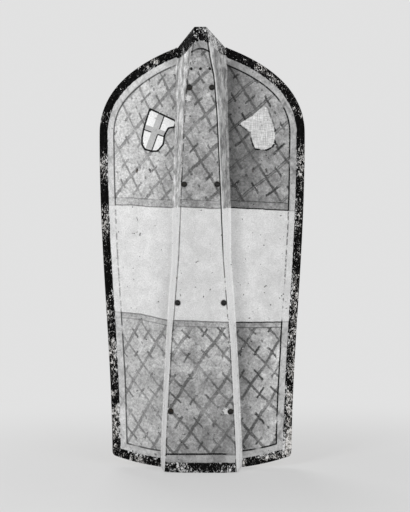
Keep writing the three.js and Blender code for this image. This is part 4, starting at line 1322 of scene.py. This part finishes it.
# Rivets. Eight forged iron rivets go in from the front through canvas, board and block, in four pairs.
# Each end is hammered over a square rove behind. The heads are low domes, a little uneven.
head_radius = 0.0074
head_rise = 0.0046
shank_radius = 0.0025
head_seat = -canvas_proud - rim_gap
front_board_thickness = 0.009
block_depth = 0.042
rove_thickness = 0.002
rove_back = front_board_thickness + block_depth + 2 * rim_gap + rove_thickness
peen_radius = 0.0042
peen_rise = 0.0022


def closed_tube(name, grid):
    """A closed skin over rings of points, with a fan of triangles over each end."""
    rings, count = grid.shape[:2]
    quads = grid_faces(rings, count, ring=True).tolist()
    here = np.arange(count)
    after = np.roll(here, -1)
    last = (rings - 1) * count
    low = np.stack([np.full(count, rings * count), after, here], -1)
    high = np.stack([np.full(count, rings * count + 1), last + here, last + after], -1)
    vertices = np.concatenate([grid.reshape(-1, 3), grid[[0, -1]].mean(1)])
    return new_piece(name, vertices, quads + low.tolist() + high.tolist())


def turned_grid(profile, origin, axis, wobble, seed, sides=32):
    """Rings of a turned profile, given as radius and depth along the axis. Two slow waves round it
    make it uneven, as hammered iron is."""
    radius, depth = np.array(profile).T
    angle = np.linspace(0, 2 * np.pi, sides, endpoint=False)
    axis = unit(np.array(axis, float))
    across = unit(np.cross(axis, (0.0, 0.0, 1.0)))
    upward = np.cross(across, axis)
    uneven = 1 + wobble * (np.sin(2 * angle + seed) + 0.6 * np.sin(3 * angle + 2.3 * seed))
    spoke = (np.cos(angle)[:, None] * across + np.sin(angle)[:, None] * upward) * uneven[:, None]
    dent = wobble * 0.6 * np.sin(3 * angle + 1.7 * seed)
    lift = depth[:, None] + dent[None] * radius[:, None] * (depth[:, None] < 0)
    return np.array(origin) + radius[:, None, None] * spoke + lift[..., None] * axis


def dome(radius, rise, seat, steps=9):
    """Profile of a low dome in front of its seat, from its middle to its rolled edge."""
    angle = np.linspace(0.06, np.pi / 2, steps)
    flat = 0.12 * rise
    top = [(radius * math.sin(a), seat - flat - (rise - flat) * math.cos(a)) for a in angle]
    return top + [(radius * 0.995, seat - flat * 0.4), (radius * 0.96, seat)]


def on_front(x, height):
    """A place on the rib's front board and the direction inwards there."""
    depth = rib_at(height)[2]
    slope = (rib_at(height + 0.01)[2] - rib_at(height - 0.01)[2]) / 0.02
    return (x, -depth, height), (0.0, 1.0, slope)


def iron_finish(name, dark, light, rust, roughness):
    """Forged iron, black from the fire, with brown rust in the hollows."""

    def build(recipe):
        place = recipe.place()
        hammered = recipe.noise(place, 330.0, 2.0, 0.5)
        pits = recipe.noise(place, 1400.0, 3.0, 0.6)
        patches = recipe.noise(place, 120.0, 4.0, 0.65)
        metal = recipe.blend(hammered.rise(0.35, 0.65), tone(dark), tone(light))
        rusty = patches.rise(0.52, 0.66)
        metal = recipe.blend(rusty * 0.75, metal, tone(rust, 0.22))
        rough = roughness + rusty * 0.28 + pits * 0.1
        relief = hammered * 0.7 + pits * 0.25 + rusty
        return metal, rough, recipe.bump(relief, 0.0002)

    return finish_of(name, build, metallic=0.72, specular=0.5)


black_iron = iron_finish("fire_blackened_iron", 18, 42, 44, 0.46)
plain_iron = iron_finish("rusty_forged_iron", 66, 104, 74, 0.42)


def iron_piece(name, grid, node, finish=plain_iron, body=shield_body):
    """A closed iron piece that stands for one CAD node."""
    return settle(closed_tube(name, grid), [node], body, finish)


rove_edge = 0.0005
peen = [(0.9, 0), (1, 0.3), (0.86, 0.75), (0.45, 1), (0.1, 0.97)]
rivet_profile = dome(head_radius, head_rise, head_seat)
rivet_profile += [(shank_radius, head_seat), (shank_radius, rove_back + rim_gap)]
rivet_profile += [(peen_radius * wide, rove_back + rim_gap + peen_rise * high) for wide, high in peen]
for level, height in rivet_heights.items():
    for side, sign in sides:
        x = sign * float(rib_at(height)[0] - rivet_inset)
        grid = turned_grid(rivet_profile, *on_front(x, height), 0.022, 37 * height + sign)
        iron_piece(f"{level}_{side}_iron_rivet", grid, f"rib_rivet_{level}_{side}", black_iron)
        rove = f"{level}_{side}_iron_rove", f"rib_rove_{level}_{side}"
        softened(*rove, shield_body, "iron", plain_iron, rove_edge)


# Nose nails. Three small nails under the nose pin canvas and front board to the nose block. They are
# cut from rod, with flat hammered heads, and run to a point inside the block.
nail_height = 0.9083 * nose_height
nail_spread = 0.024
nail_radius = 0.0016
nail_depth = 0.042
nail_profile = dome(0.0038, 0.0020, head_seat, 7) + [
    (nail_radius, head_seat),
    (nail_radius, nail_depth - 0.004),
    (0.0009, nail_depth - 0.0015),
    (0.0002, nail_depth),
]
for name, x in (("left", -nail_spread), ("middle", 0.0), ("right", nail_spread)):
    grid = turned_grid(nail_profile, *on_front(x, nail_height), 0.07, 900 * x + 1, 20)
    iron_piece(f"{name}_cut_nail", grid, f"nose_nail_{name}", black_iron)


# Hand grip. An upright bar of ash is nailed to the two middle blocks. It is square where it is nailed
# and shaved to an oval for the hand, which has darkened and polished it.
grip_end = 0.025
grip_low = rivet_heights["lower"] - grip_end
grip_high = rivet_heights["upper"] + grip_end
grip_thickness = 0.026
grip_width = 0.030
waist_thickness = 0.023
waist_width = 0.027
grip_seat = 0.050
grip_taper = 0.036


def swept_grid(path, halves, square, reference, sides=24):
    """Rings of a rounded section carried along a path. halves are its half sizes across and along
    the reference direction, and a point of the section at an angle is the cosine and the sine of
    the angle, each to the power of 2 over square."""
    ahead = unit(np.gradient(path, axis=0))
    across = unit(np.cross(ahead, np.array(reference, float)))
    upward = np.cross(across, ahead)
    angle = np.linspace(0, 2 * np.pi, sides, endpoint=False) + 0.0001
    power = (2 / np.broadcast_to(square, len(path)))[:, None]
    cos = np.sign(np.cos(angle)) * np.abs(np.cos(angle)) ** power
    sin = np.sign(np.sin(angle)) * np.abs(np.sin(angle)) ** power
    halves = np.broadcast_to(halves, (len(path), 2))
    return (
        path[:, None]
        + (cos * halves[:, :1])[..., None] * across[:, None]
        + (sin * halves[:, 1:])[..., None] * upward[:, None]
    )


def round_end(share, reach):
    """Size of a section near both ends: a quarter circle over the reach, as a share of the length."""
    inside = np.clip(np.minimum(share, 1 - share) / reach, 0, 1)
    return np.maximum(np.sqrt(1 - (1 - inside) ** 2), 0.25)


grip_steps = np.concatenate([np.linspace(0, 0.015, 5), np.linspace(0.03, 0.97, 66), np.linspace(0.985, 1, 5)])
grip_z = grip_low + grip_steps * (grip_high - grip_low)
seat_away = np.minimum(grip_z - grip_low, grip_high - grip_z)
waist_share = eased(seat_away, grip_seat, grip_seat + grip_taper)
grip_thick = grip_thickness + (waist_thickness - grip_thickness) * waist_share
grip_wide = grip_width + (waist_width - grip_width) * waist_share
grip_ends = 0.88 + 0.12 * round_end(grip_steps, 0.012)
grip_wear = 0.0004 * np.sin(31 * grip_z) * waist_share
grip_path = np.stack([0 * grip_z + grip_wear, grip_back - grip_thick / 2, grip_z], -1)
grip_halves = np.stack([grip_wide / 2 * grip_ends, grip_thick / 2 * grip_ends], -1)
handled_ash = wood_finish("handled_ash", 118, 56, True, 0.48, 0.0004, 0.20)
grip_grid = swept_grid(grip_path, grip_halves, 9.0 - 5.6 * waist_share, (0, 1, 0), 40)
settle(closed_tube("shaved_hand_grip", grip_grid), ["grip_bar"], shield_body, handled_ash)

grip_nail_step = 0.012
grip_nails = [
    rivet_heights[level] + up for level in ("upper", "lower") for up in (-grip_nail_step, grip_nail_step)
]
rose_radius = 0.002
rose_depth = 0.0495
rose_profile = dome(0.006, 0.0026, -rim_gap, 8) + [
    (rose_radius, -rim_gap),
    (rose_radius, rose_depth - 0.0055),
    (0.001, rose_depth - 0.0015),
    (0.0002, rose_depth),
]
for index, height in enumerate(grip_nails):
    grid = turned_grid(rose_profile, (0, grip_back, height), (0, -1, 0), 0.03, 1.9 * index)
    iron_piece(f"grip_rose_nail_{index + 1}", grid, f"grip_nail_{index + 1}")


# Staples. Two iron staples are driven through the panels from behind and hold the carrying strap.
# Their points come out through the painted front and are bent down over the canvas.
staple_height = rivet_heights["upper"] + 0.044
staple_place = 0.155
staple_span = 0.034
staple_wire = 0.0025
staple_bend = 0.004
clench = 0.009
staple_stand = 0.012
crown_y = float(bow_y(lining_back, staple_place)) + staple_stand


def rounded_path(corners, bend, steps=9):
    """A line of straight pieces whose corners are rounded by a quadratic curve."""
    corners = np.array(corners, float)
    pieces = [corners[:1]]
    for before, here, after in zip(corners[:-2], corners[1:-1], corners[2:]):
        start = here + (before - here) * min(bend / np.linalg.norm(before - here), 0.49)
        end = here + (after - here) * min(bend / np.linalg.norm(after - here), 0.49)
        pieces.append(bezier([start, here, end], steps))
    pieces.append(corners[-1:])
    return np.concatenate(pieces)


for side, sign in sides:
    legs = [sign * staple_place - staple_span / 2, sign * staple_place + staple_span / 2]
    outside = [float(panel_y(x, canvas_proud)) - staple_wire * 0.9 for x in legs]
    corners = [
        (legs[0] - 0.001, outside[0], staple_height - clench),
        (legs[0], outside[0], staple_height),
        (legs[0], crown_y, staple_height),
        (legs[1], crown_y, staple_height),
        (legs[1], outside[1], staple_height),
        (legs[1] + 0.002, outside[1], staple_height - clench),
    ]
    wire_path = even_steps(rounded_path(corners, staple_bend), 110)
    wire_share = np.linspace(0, 1, 110)
    wire_size = staple_wire * (0.55 + 0.45 * eased(np.minimum(wire_share, 1 - wire_share), 0.0, 0.11))
    wire_size = wire_size * round_end(wire_share, 0.018)
    grid = swept_grid(wire_path, np.stack([wire_size, wire_size], -1), 2.4, (1, 1, 1), 16)
    iron_piece(f"{side}_wire_staple", grid, f"{side}_staple")


# Carrying strap. Both lengths are cut from oxhide, folded round their staples and closed with a rivet.
# The long one has six punched holes and a cut point, and the short one carries the buckle in its fold.
strap_width = 0.025
strap_thickness = 0.0026
turn_gap = 0.0003
fold_length = 0.044
long_length = 0.560
point_length = 0.022
hole_radius = 0.0026
hole_pitch = 0.034
hole_count = 6
short_length = 0.210
strap_rivet_drop = 0.027
layer_offset = (strap_thickness + turn_gap) / 2
strap_columns = np.linspace(-0.5, 0.5, 9) * strap_width


def strap_turn(bar, middle_z, up):
    """Half turn round a bar, from one layer to the other, in y and z: a circle with straight runs
    that meet it at a tangent."""
    radius = bar + turn_gap + strap_thickness / 2
    reach = math.hypot(layer_offset, 4 * radius)
    start = math.atan2(-4 * radius, layer_offset) + math.acos(radius / reach)
    angle = np.linspace(math.pi - start, start, 40)
    arc_points = np.stack([radius * np.cos(angle), middle_z + up * radius * np.sin(angle)], -1)
    ends = middle_z - up * 4 * radius
    return np.concatenate([[(-layer_offset, ends)], arc_points, [(layer_offset, ends)]])


def thick_sheet(name, flat, faces, lay, thickness):
    """A sheet of even thickness: two skins, and a wall along every edge that only one face has.
    flat points are across and along, and lay() gives their place at a distance from the middle."""
    points, index = np.unique(np.round(flat, 7), axis=0, return_inverse=True)
    faces = index.reshape(-1)[faces]
    edges = np.stack([faces, np.roll(faces, -1, axis=1)], -1).reshape(-1, 2)
    _, first, uses = np.unique(np.sort(edges, axis=1), axis=0, return_index=True, return_counts=True)
    rim = edges[first[uses == 1]]
    count = len(points)
    wall = np.stack([rim[:, 1], rim[:, 0], rim[:, 0] + count, rim[:, 1] + count], -1)
    vertices = np.concatenate([lay(points, thickness / 2), lay(points, -thickness / 2)])
    piece = new_piece(name, vertices, np.concatenate([faces, faces[:, ::-1] + count, wall]).tolist())
    add_mark(piece, "leather", np.tile(np.pad(points, ((0, 0), (0, 1))), (2, 1)))
    return piece


def plain_patch(along, columns):
    """Flat grid patch: columns is one row of places across, or one row for each place along."""
    columns = np.broadcast_to(columns, (len(along), np.shape(columns)[-1]))
    return np.stack([columns, np.broadcast_to(along[:, None], columns.shape)], -1)


def punched_patch(middle, reach):
    """Flat patch round a punched hole: rings that go from the hole's circle to a rectangle."""
    across = strap_columns
    up = np.linspace(-reach, reach, 5)
    box = np.concatenate(
        [
            np.stack([across[:-1], np.full(8, -reach)], -1),
            np.stack([np.full(4, across[-1]), up[:-1]], -1),
            np.stack([across[:0:-1], np.full(8, reach)], -1),
            np.stack([np.full(4, across[0]), up[:0:-1]], -1),
        ]
    )
    share = np.array([0.0, 0.12, 0.3, 0.6, 1.0])[:, None, None]
    rings = unit(box) * hole_radius * (1 - share) + box * share
    return rings + np.array([0.0, middle])


def strap_rows(start, end, turns, reach=0.022):
    """Places along a strap, 0.7 mm apart within reach of its turns and 4.9 mm elsewhere."""
    count = int((end - start) / 0.0007) + 1
    places = np.linspace(start, end, count)
    near = np.min([np.abs(places - turn) for turn in turns], axis=0) < reach
    keep = near | (np.arange(count) % 7 == 0)
    keep[[0, -1]] = True
    return places[keep]


def lay_on(path, place_x, sway):
    """How a flat strap lies on its path in y and z, hung from a place across the shield. Along its
    middle it sways a little, and its edges curl away from the shield."""
    whole = lengths_along(path)[-1]
    dense = np.arange(0, whole + 0.0002, 0.0002)
    line = points_along(path, dense)
    weights = np.ones(13) / 13
    padded = np.pad(line, ((6, 6), (0, 0)), mode="reflect", reflect_type="odd")
    line = np.stack([np.convolve(column, weights, "valid") for column in padded.T], -1)
    normal = line_normals(line)

    def lay(points, offset):
        across, run = points[:, 0], np.clip(points[:, 1], 0, dense[-1])
        y, z = (np.interp(run, dense, line[:, k]) for k in (0, 1))
        ny, nz = (np.interp(run, dense, normal[:, k]) for k in (0, 1))
        hang = np.clip((-z - 0.05) / 0.08, 0, 1) * np.clip((z + sway["end"]) / 0.05, 0, 1)
        y = y + hang * (sway["depth"] * np.sin(17 * z + 1) + 0.0012 * (across / 0.0125) ** 2)
        x = place_x + across + hang * sway["side"] * np.sin(11 * z)
        return np.stack([x, crown_y + y + offset * ny, staple_height + z + offset * nz], -1)

    return lay, float(whole)


def leather_finish(recipe):
    """Oxhide, dark and dressed with fat, paler and rougher along its cut edges and where it bends."""
    place = recipe.place()
    flat = recipe.mark("leather")
    pores = recipe.cells(place, 900.0)
    wrinkle = recipe.noise(place, 140.0, 4.0, 0.65)
    creases = recipe.streaks(place, (60.0, 60.0, 520.0), 3.0, 0.6)
    patches = recipe.noise(place, 28.0, 4.0, 0.6)
    hide = recipe.blend(patches.rise(0.34, 0.66), tone(34, 0.22), tone(60, 0.24))
    edge = recipe.math("ABSOLUTE", flat["X"]).rise(strap_width / 2 - 0.0016, strap_width / 2)
    hide = recipe.blend(edge * 0.55, hide, tone(100, 0.22))
    hide = recipe.blend(creases.rise(0.56, 0.7) * 0.5, hide, tone(92, 0.22))
    relief = pores * 0.25 + wrinkle + creases * 0.6
    rough = 0.46 + wrinkle * 0.24 + edge * 0.2
    return hide, rough, recipe.bump(relief, 0.0004)


oxhide = finish_of("greased_oxhide", leather_finish, specular=0.45)


def strap_piece(name, patches, lay, node):
    """Joins flat patches, gives them their thickness and takes the sharp edges off. The node and
    the body of a strap have the same name."""
    flats, faces, first = [], [], 0
    for patch, ring in patches:
        rows, columns = patch.shape[:2]
        flats.append(patch.reshape(-1, 2))
        faces.append(grid_faces(rows, columns, first, ring=ring))
        first += rows * columns
    piece = thick_sheet(name, np.concatenate(flats), np.concatenate(faces), lay, strap_thickness)
    round_edges(piece, "worn_edges", 0.0005, 50)
    return settle(piece, [node], node, oxhide)


long_path = np.concatenate(
    [[(-layer_offset, -fold_length)], strap_turn(staple_wire, 0.0, 1), [(layer_offset, -long_length)]]
)
lay_long, long_run = lay_on(long_path, -staple_place, {"end": long_length, "depth": 0.0011, "side": 0.0012})
crown_run = long_run - long_length
point_start = long_run - point_length
hole_runs = [point_start - (hole + 1) * hole_pitch for hole in range(hole_count)][::-1]
hole_reach = 0.006
punched, here = [], 0.0
for run in hole_runs:
    rows = strap_rows(here, run - hole_reach, [crown_run])
    punched += [(plain_patch(rows, strap_columns), False), (punched_patch(run, hole_reach), True)]
    here = run + hole_reach
punched.append((plain_patch(strap_rows(here, point_start, [crown_run]), strap_columns), False))
point_share = np.linspace(0, 1, 14)
point_width = np.maximum(1 - point_share**1.6, 0.04)[:, None]
point_rows = point_start + point_share * point_length
punched.append((plain_patch(point_rows, strap_columns * point_width), False))
strap_piece("long_oxhide_strap", punched, lay_long, "long_strap")

buckle_bar = 0.0025
tongue_width = 0.0044
slot_half = tongue_width / 2 + 0.0012
slot_reach = 0.014
short_path = np.concatenate(
    [
        [(-layer_offset, -fold_length)],
        strap_turn(staple_wire, 0.0, 1),
        strap_turn(buckle_bar, -short_length, -1)[::-1],
        [(-layer_offset, -short_length + fold_length)],
    ]
)
lay_short, short_run = lay_on(short_path, staple_place, {"end": short_length, "depth": 0.0, "side": 0.0})
turn_radius = buckle_bar + turn_gap + strap_thickness / 2
slot_length = 2 * slot_reach + math.pi * turn_radius
slot_middle = short_run - fold_length - 0.5 * math.pi * turn_radius
slot_low = slot_middle - slot_length / 2
slot_high = slot_middle + slot_length / 2
side_columns = np.array([0.5, 0.42, 0.30, 0.22]) * strap_width


def slotted_columns(along):
    """Places across: outer columns stay, and the two inner ones follow the slot's rounded ends."""
    inside = np.clip(np.minimum(along - slot_low, slot_high - along) / slot_half, 0.02, 1)
    half = slot_half * np.sqrt(1 - (1 - inside) ** 2)
    outside = np.clip(np.maximum(slot_low - along, along - slot_high) / 0.004, 0, 1)
    half = np.where((along < slot_low) | (along > slot_high), slot_half * (0.2 + 0.8 * outside), half)
    left = np.broadcast_to(-side_columns, (len(along), 4))
    right = np.broadcast_to(side_columns[::-1], (len(along), 4))
    return np.concatenate([left, -half[:, None], half[:, None], right], 1)


upper_rows = strap_rows(0.0, slot_low, [crown_run, slot_middle])
slot_rows = np.linspace(slot_low, slot_high, 64)
lower_rows = strap_rows(slot_high, short_run, [slot_middle], reach=0.03)
slotted = slotted_columns(slot_rows)
upper_columns, lower_columns = slotted_columns(upper_rows), slotted_columns(lower_rows)
upper_columns[-1], lower_columns[0] = slotted[0], slotted[-1]
slotted_patches = [
    (plain_patch(upper_rows, upper_columns), False),
    (plain_patch(slot_rows, slotted[:, :5]), False),
    (plain_patch(slot_rows, slotted[:, 5:]), False),
    (plain_patch(lower_rows, lower_columns), False),
]
strap_piece("short_oxhide_strap", slotted_patches, lay_short, "buckle_strap")

rivet_seat = layer_offset + strap_thickness / 2 + 0.0001
half_rivet = dome(0.0044, 0.0016, -rivet_seat, 7) + [(0.0016, -rivet_seat)]
strap_rivet_profile = half_rivet + [(radius, -depth) for radius, depth in half_rivet][::-1]
strap_rivets = {
    "long_strap_rivet": ("long_strap", -staple_place, -strap_rivet_drop),
    "buckle_strap_upper_rivet": ("buckle_strap", staple_place, -strap_rivet_drop),
    "buckle_strap_lower_rivet": ("buckle_strap", staple_place, -short_length + strap_rivet_drop),
}
for node, (body, x, z) in strap_rivets.items():
    origin = (x, crown_y, staple_height + z)
    grid = turned_grid(strap_rivet_profile, origin, (0, 1, 0), 0.04, 50 * z, 24)
    iron_piece(f"hammered_{node}", grid, node, body=body)


# Buckle. The frame is forged from square rod, bent to a D and hung on a round bar that is riveted into
# its ends. The tongue is a tapered strip rolled round the bar, and rests on the lower side of the frame.
buckle_z = staple_height - short_length
buckle_inside = 0.0145
frame_rod = 0.0025
buckle_half = buckle_inside + frame_rod
frame_over = 0.0012
buckle_drop = 0.027


def in_buckle(points):
    """Places measured from the middle of the buckle's bar."""
    return np.array(points, float) + np.array([staple_place, crown_y, buckle_z])


frame_corners = [
    (-buckle_half, 0, buckle_bar + frame_over),
    (-buckle_half, 0, -buckle_drop),
    (buckle_half, 0, -buckle_drop),
    (buckle_half, 0, buckle_bar + frame_over),
]
ring_share = np.linspace(0, 1, 90)
ring_path = even_steps(rounded_path(frame_corners, 0.007, 12), 90)
ring_swell = 1 + 0.10 * np.sin(np.pi * ring_share) ** 8
ring_size = np.stack([frame_rod * ring_swell, 0.0022 * ring_swell], -1) * round_end(ring_share, 0.03)[:, None]
grid = swept_grid(in_buckle(ring_path), ring_size, 3.6, (0, 1, 0), 20)
iron_piece("forged_buckle_frame", grid, "buckle_frame", body="buckle")
bar_steps = np.linspace(-1, 1, 24)
bar_path = np.stack([bar_steps * (buckle_half + 0.0028), 0 * bar_steps, 0 * bar_steps], -1)
bar_size = buckle_bar * np.where(np.abs(bar_steps) > 0.9, 0.8, 0.995)[:, None] * np.ones((1, 2))
bar_size = bar_size * round_end((bar_steps + 1) / 2, 0.02)[:, None]
bar_grid = swept_grid(in_buckle(bar_path), bar_size, 2.0, (0, 0, 1), 20)
settle(closed_tube("buckle_bar_rod", bar_grid), [], "buckle", plain_iron)

eye_radius = buckle_bar + turn_gap + 0.0012
eye_angle = np.radians(np.linspace(285, 8, 40))
eye = np.stack([0 * eye_angle, eye_radius * np.cos(eye_angle), eye_radius * np.sin(eye_angle)], -1)
arm = bezier(
    [eye[-1], (0, 0.0042, -0.004), (0, 0.0052, -0.016), (0, 0.0040, -0.026), (0, 0.0034, -0.0298)], 34
)
tongue_path = even_steps(np.concatenate([eye, arm[1:]]), 96)
tongue_share = np.linspace(0, 1, 96)
tongue_wide = tongue_width / 2 - 0.0008 * eased(tongue_share, 0.55, 1.0)
tongue_thick = 0.0011 + 0.0002 * eased(tongue_share, 0.45, 0.6) - 0.0004 * eased(tongue_share, 0.8, 1.0)
tongue_size = np.stack([tongue_thick, tongue_wide], -1) * round_end(tongue_share, 0.03)[:, None]
grid = swept_grid(in_buckle(tongue_path), tongue_size, 3.0, (1, 0, 0), 18)
iron_piece("rolled_buckle_tongue", grid, "buckle_tongue", body="tongue")


# Stage, lights and camera. A pale floor fades into an even pale room. The main light comes from the
# left in front, a fill from the right, and the camera stands at mid height, a little to the right.
stand_distance = 3.3
camera_side = 0.10
sensor_width = 36
picture_rows = 512
camera_lens = stand_distance * sensor_width / (picture_rows * panel_pixel)
camera_height = foot_low + level_height
picture_middle = (205.6, 256.0)
look_x = (picture_middle[0] - middle_pixel) * panel_pixel
look_z = camera_height + (level_pixel - picture_middle[1]) * panel_pixel

camera = bpy.data.objects.new("camera", bpy.data.cameras.new("camera"))
bpy.context.scene.collection.objects.link(camera)
camera.data.lens = camera_lens
camera.data.sensor_width = sensor_width
camera.location = (camera_side, -stand_distance - grip_back, camera_height)
bpy.context.scene.camera = camera
aim = Vector((look_x, -grip_back, look_z)) - camera.location
camera.rotation_euler = aim.to_track_quat("-Z", "Y").to_euler()
camera.data.clip_end = 60

floor_reach = 14.0
floor_lines = 41
floor_step = np.linspace(-1, 1, floor_lines) ** 3 * floor_reach
floor_grid = np.stack(np.broadcast_arrays(floor_step[None, :], floor_step[:, None], -0.0006), -1)
floor_faces = grid_faces(floor_lines, floor_lines).tolist()
floor = new_piece("pale_floor", floor_grid.reshape(-1, 3), floor_faces, False)

room_grey = tone(225.5)


def floor_finish():
    """Pale floor that takes shadows near the shield and fades into the room further away."""
    material = finish_of("pale_floor_paint", lambda recipe: (tone(208), 0.9, None), specular=0.1)
    recipe = Recipe(material.node_tree)
    nodes = material.node_tree.nodes
    rays = recipe.outputs(recipe.node("ShaderNodeLightPath"))
    seen = recipe.most(rays["Is Camera Ray"], rays["Is Glossy Ray"], rays["Is Transmission Ray"])
    level = recipe.vector("MULTIPLY", recipe.place(), (1.0, 1.0, 0.0))
    away = recipe.outputs(recipe.node("ShaderNodeVectorMath", {0: level}, operation="LENGTH"))["Value"]
    glow = recipe.node("ShaderNodeEmission", {"Color": room_grey})
    share = seen * away.rise(0.25, 1.6, 0.55, 1.0)
    inputs = {0: share, 1: nodes["Principled BSDF"].outputs[0], 2: glow.outputs[0]}
    mixed = recipe.node("ShaderNodeMixShader", inputs)
    recipe.put(nodes["Material Output"].inputs["Surface"], mixed.outputs[0])
    return material


floor.data.materials.append(floor_finish())


def soft_light(name, place, size, power, target=(0.0, 0.0, 0.0)):
    """A square area light at a place, turned to a target."""
    light = bpy.data.objects.new(name, bpy.data.lights.new(name, "AREA"))
    light.data.size = size
    light.data.energy = power
    light.location = place
    light.rotation_euler = (Vector(target) - Vector(place)).to_track_quat("-Z", "Y").to_euler()
    bpy.context.scene.collection.objects.link(light)


soft_light("key_from_the_left", (-2.3, -3.6, 1.2), 1.3, 83)
soft_light("fill_from_the_right", (2.5, -3.6, 0.5), 2.4, 84)
soft_light("light_from_behind", (-1.2, 3.4, 1.4), 2.2, 90)


def even_room():
    """The camera sees a plain pale grey, and everything else is lit by white."""
    world = bpy.data.worlds.new("even_room")
    world.use_nodes = True
    nodes = world.node_tree.nodes
    recipe = Recipe(world.node_tree)
    rays = recipe.outputs(recipe.node("ShaderNodeLightPath"))
    seen = recipe.node("ShaderNodeBackground", {"Color": room_grey})
    light = nodes["Background"]
    light.inputs["Color"].default_value = (1.0, 1.0, 1.0, 1.0)
    light.inputs["Strength"].default_value = 0.40
    share = recipe.most(rays["Is Camera Ray"], rays["Is Transmission Ray"])
    mixed = recipe.node("ShaderNodeMixShader", {0: share, 1: light.outputs[0], 2: seen.outputs[0]})
    recipe.put(nodes["World Output"].inputs["Surface"], mixed.outputs[0])
    return world


bpy.context.scene.world = even_room()
bpy.context.scene.view_settings.view_transform = "Standard"
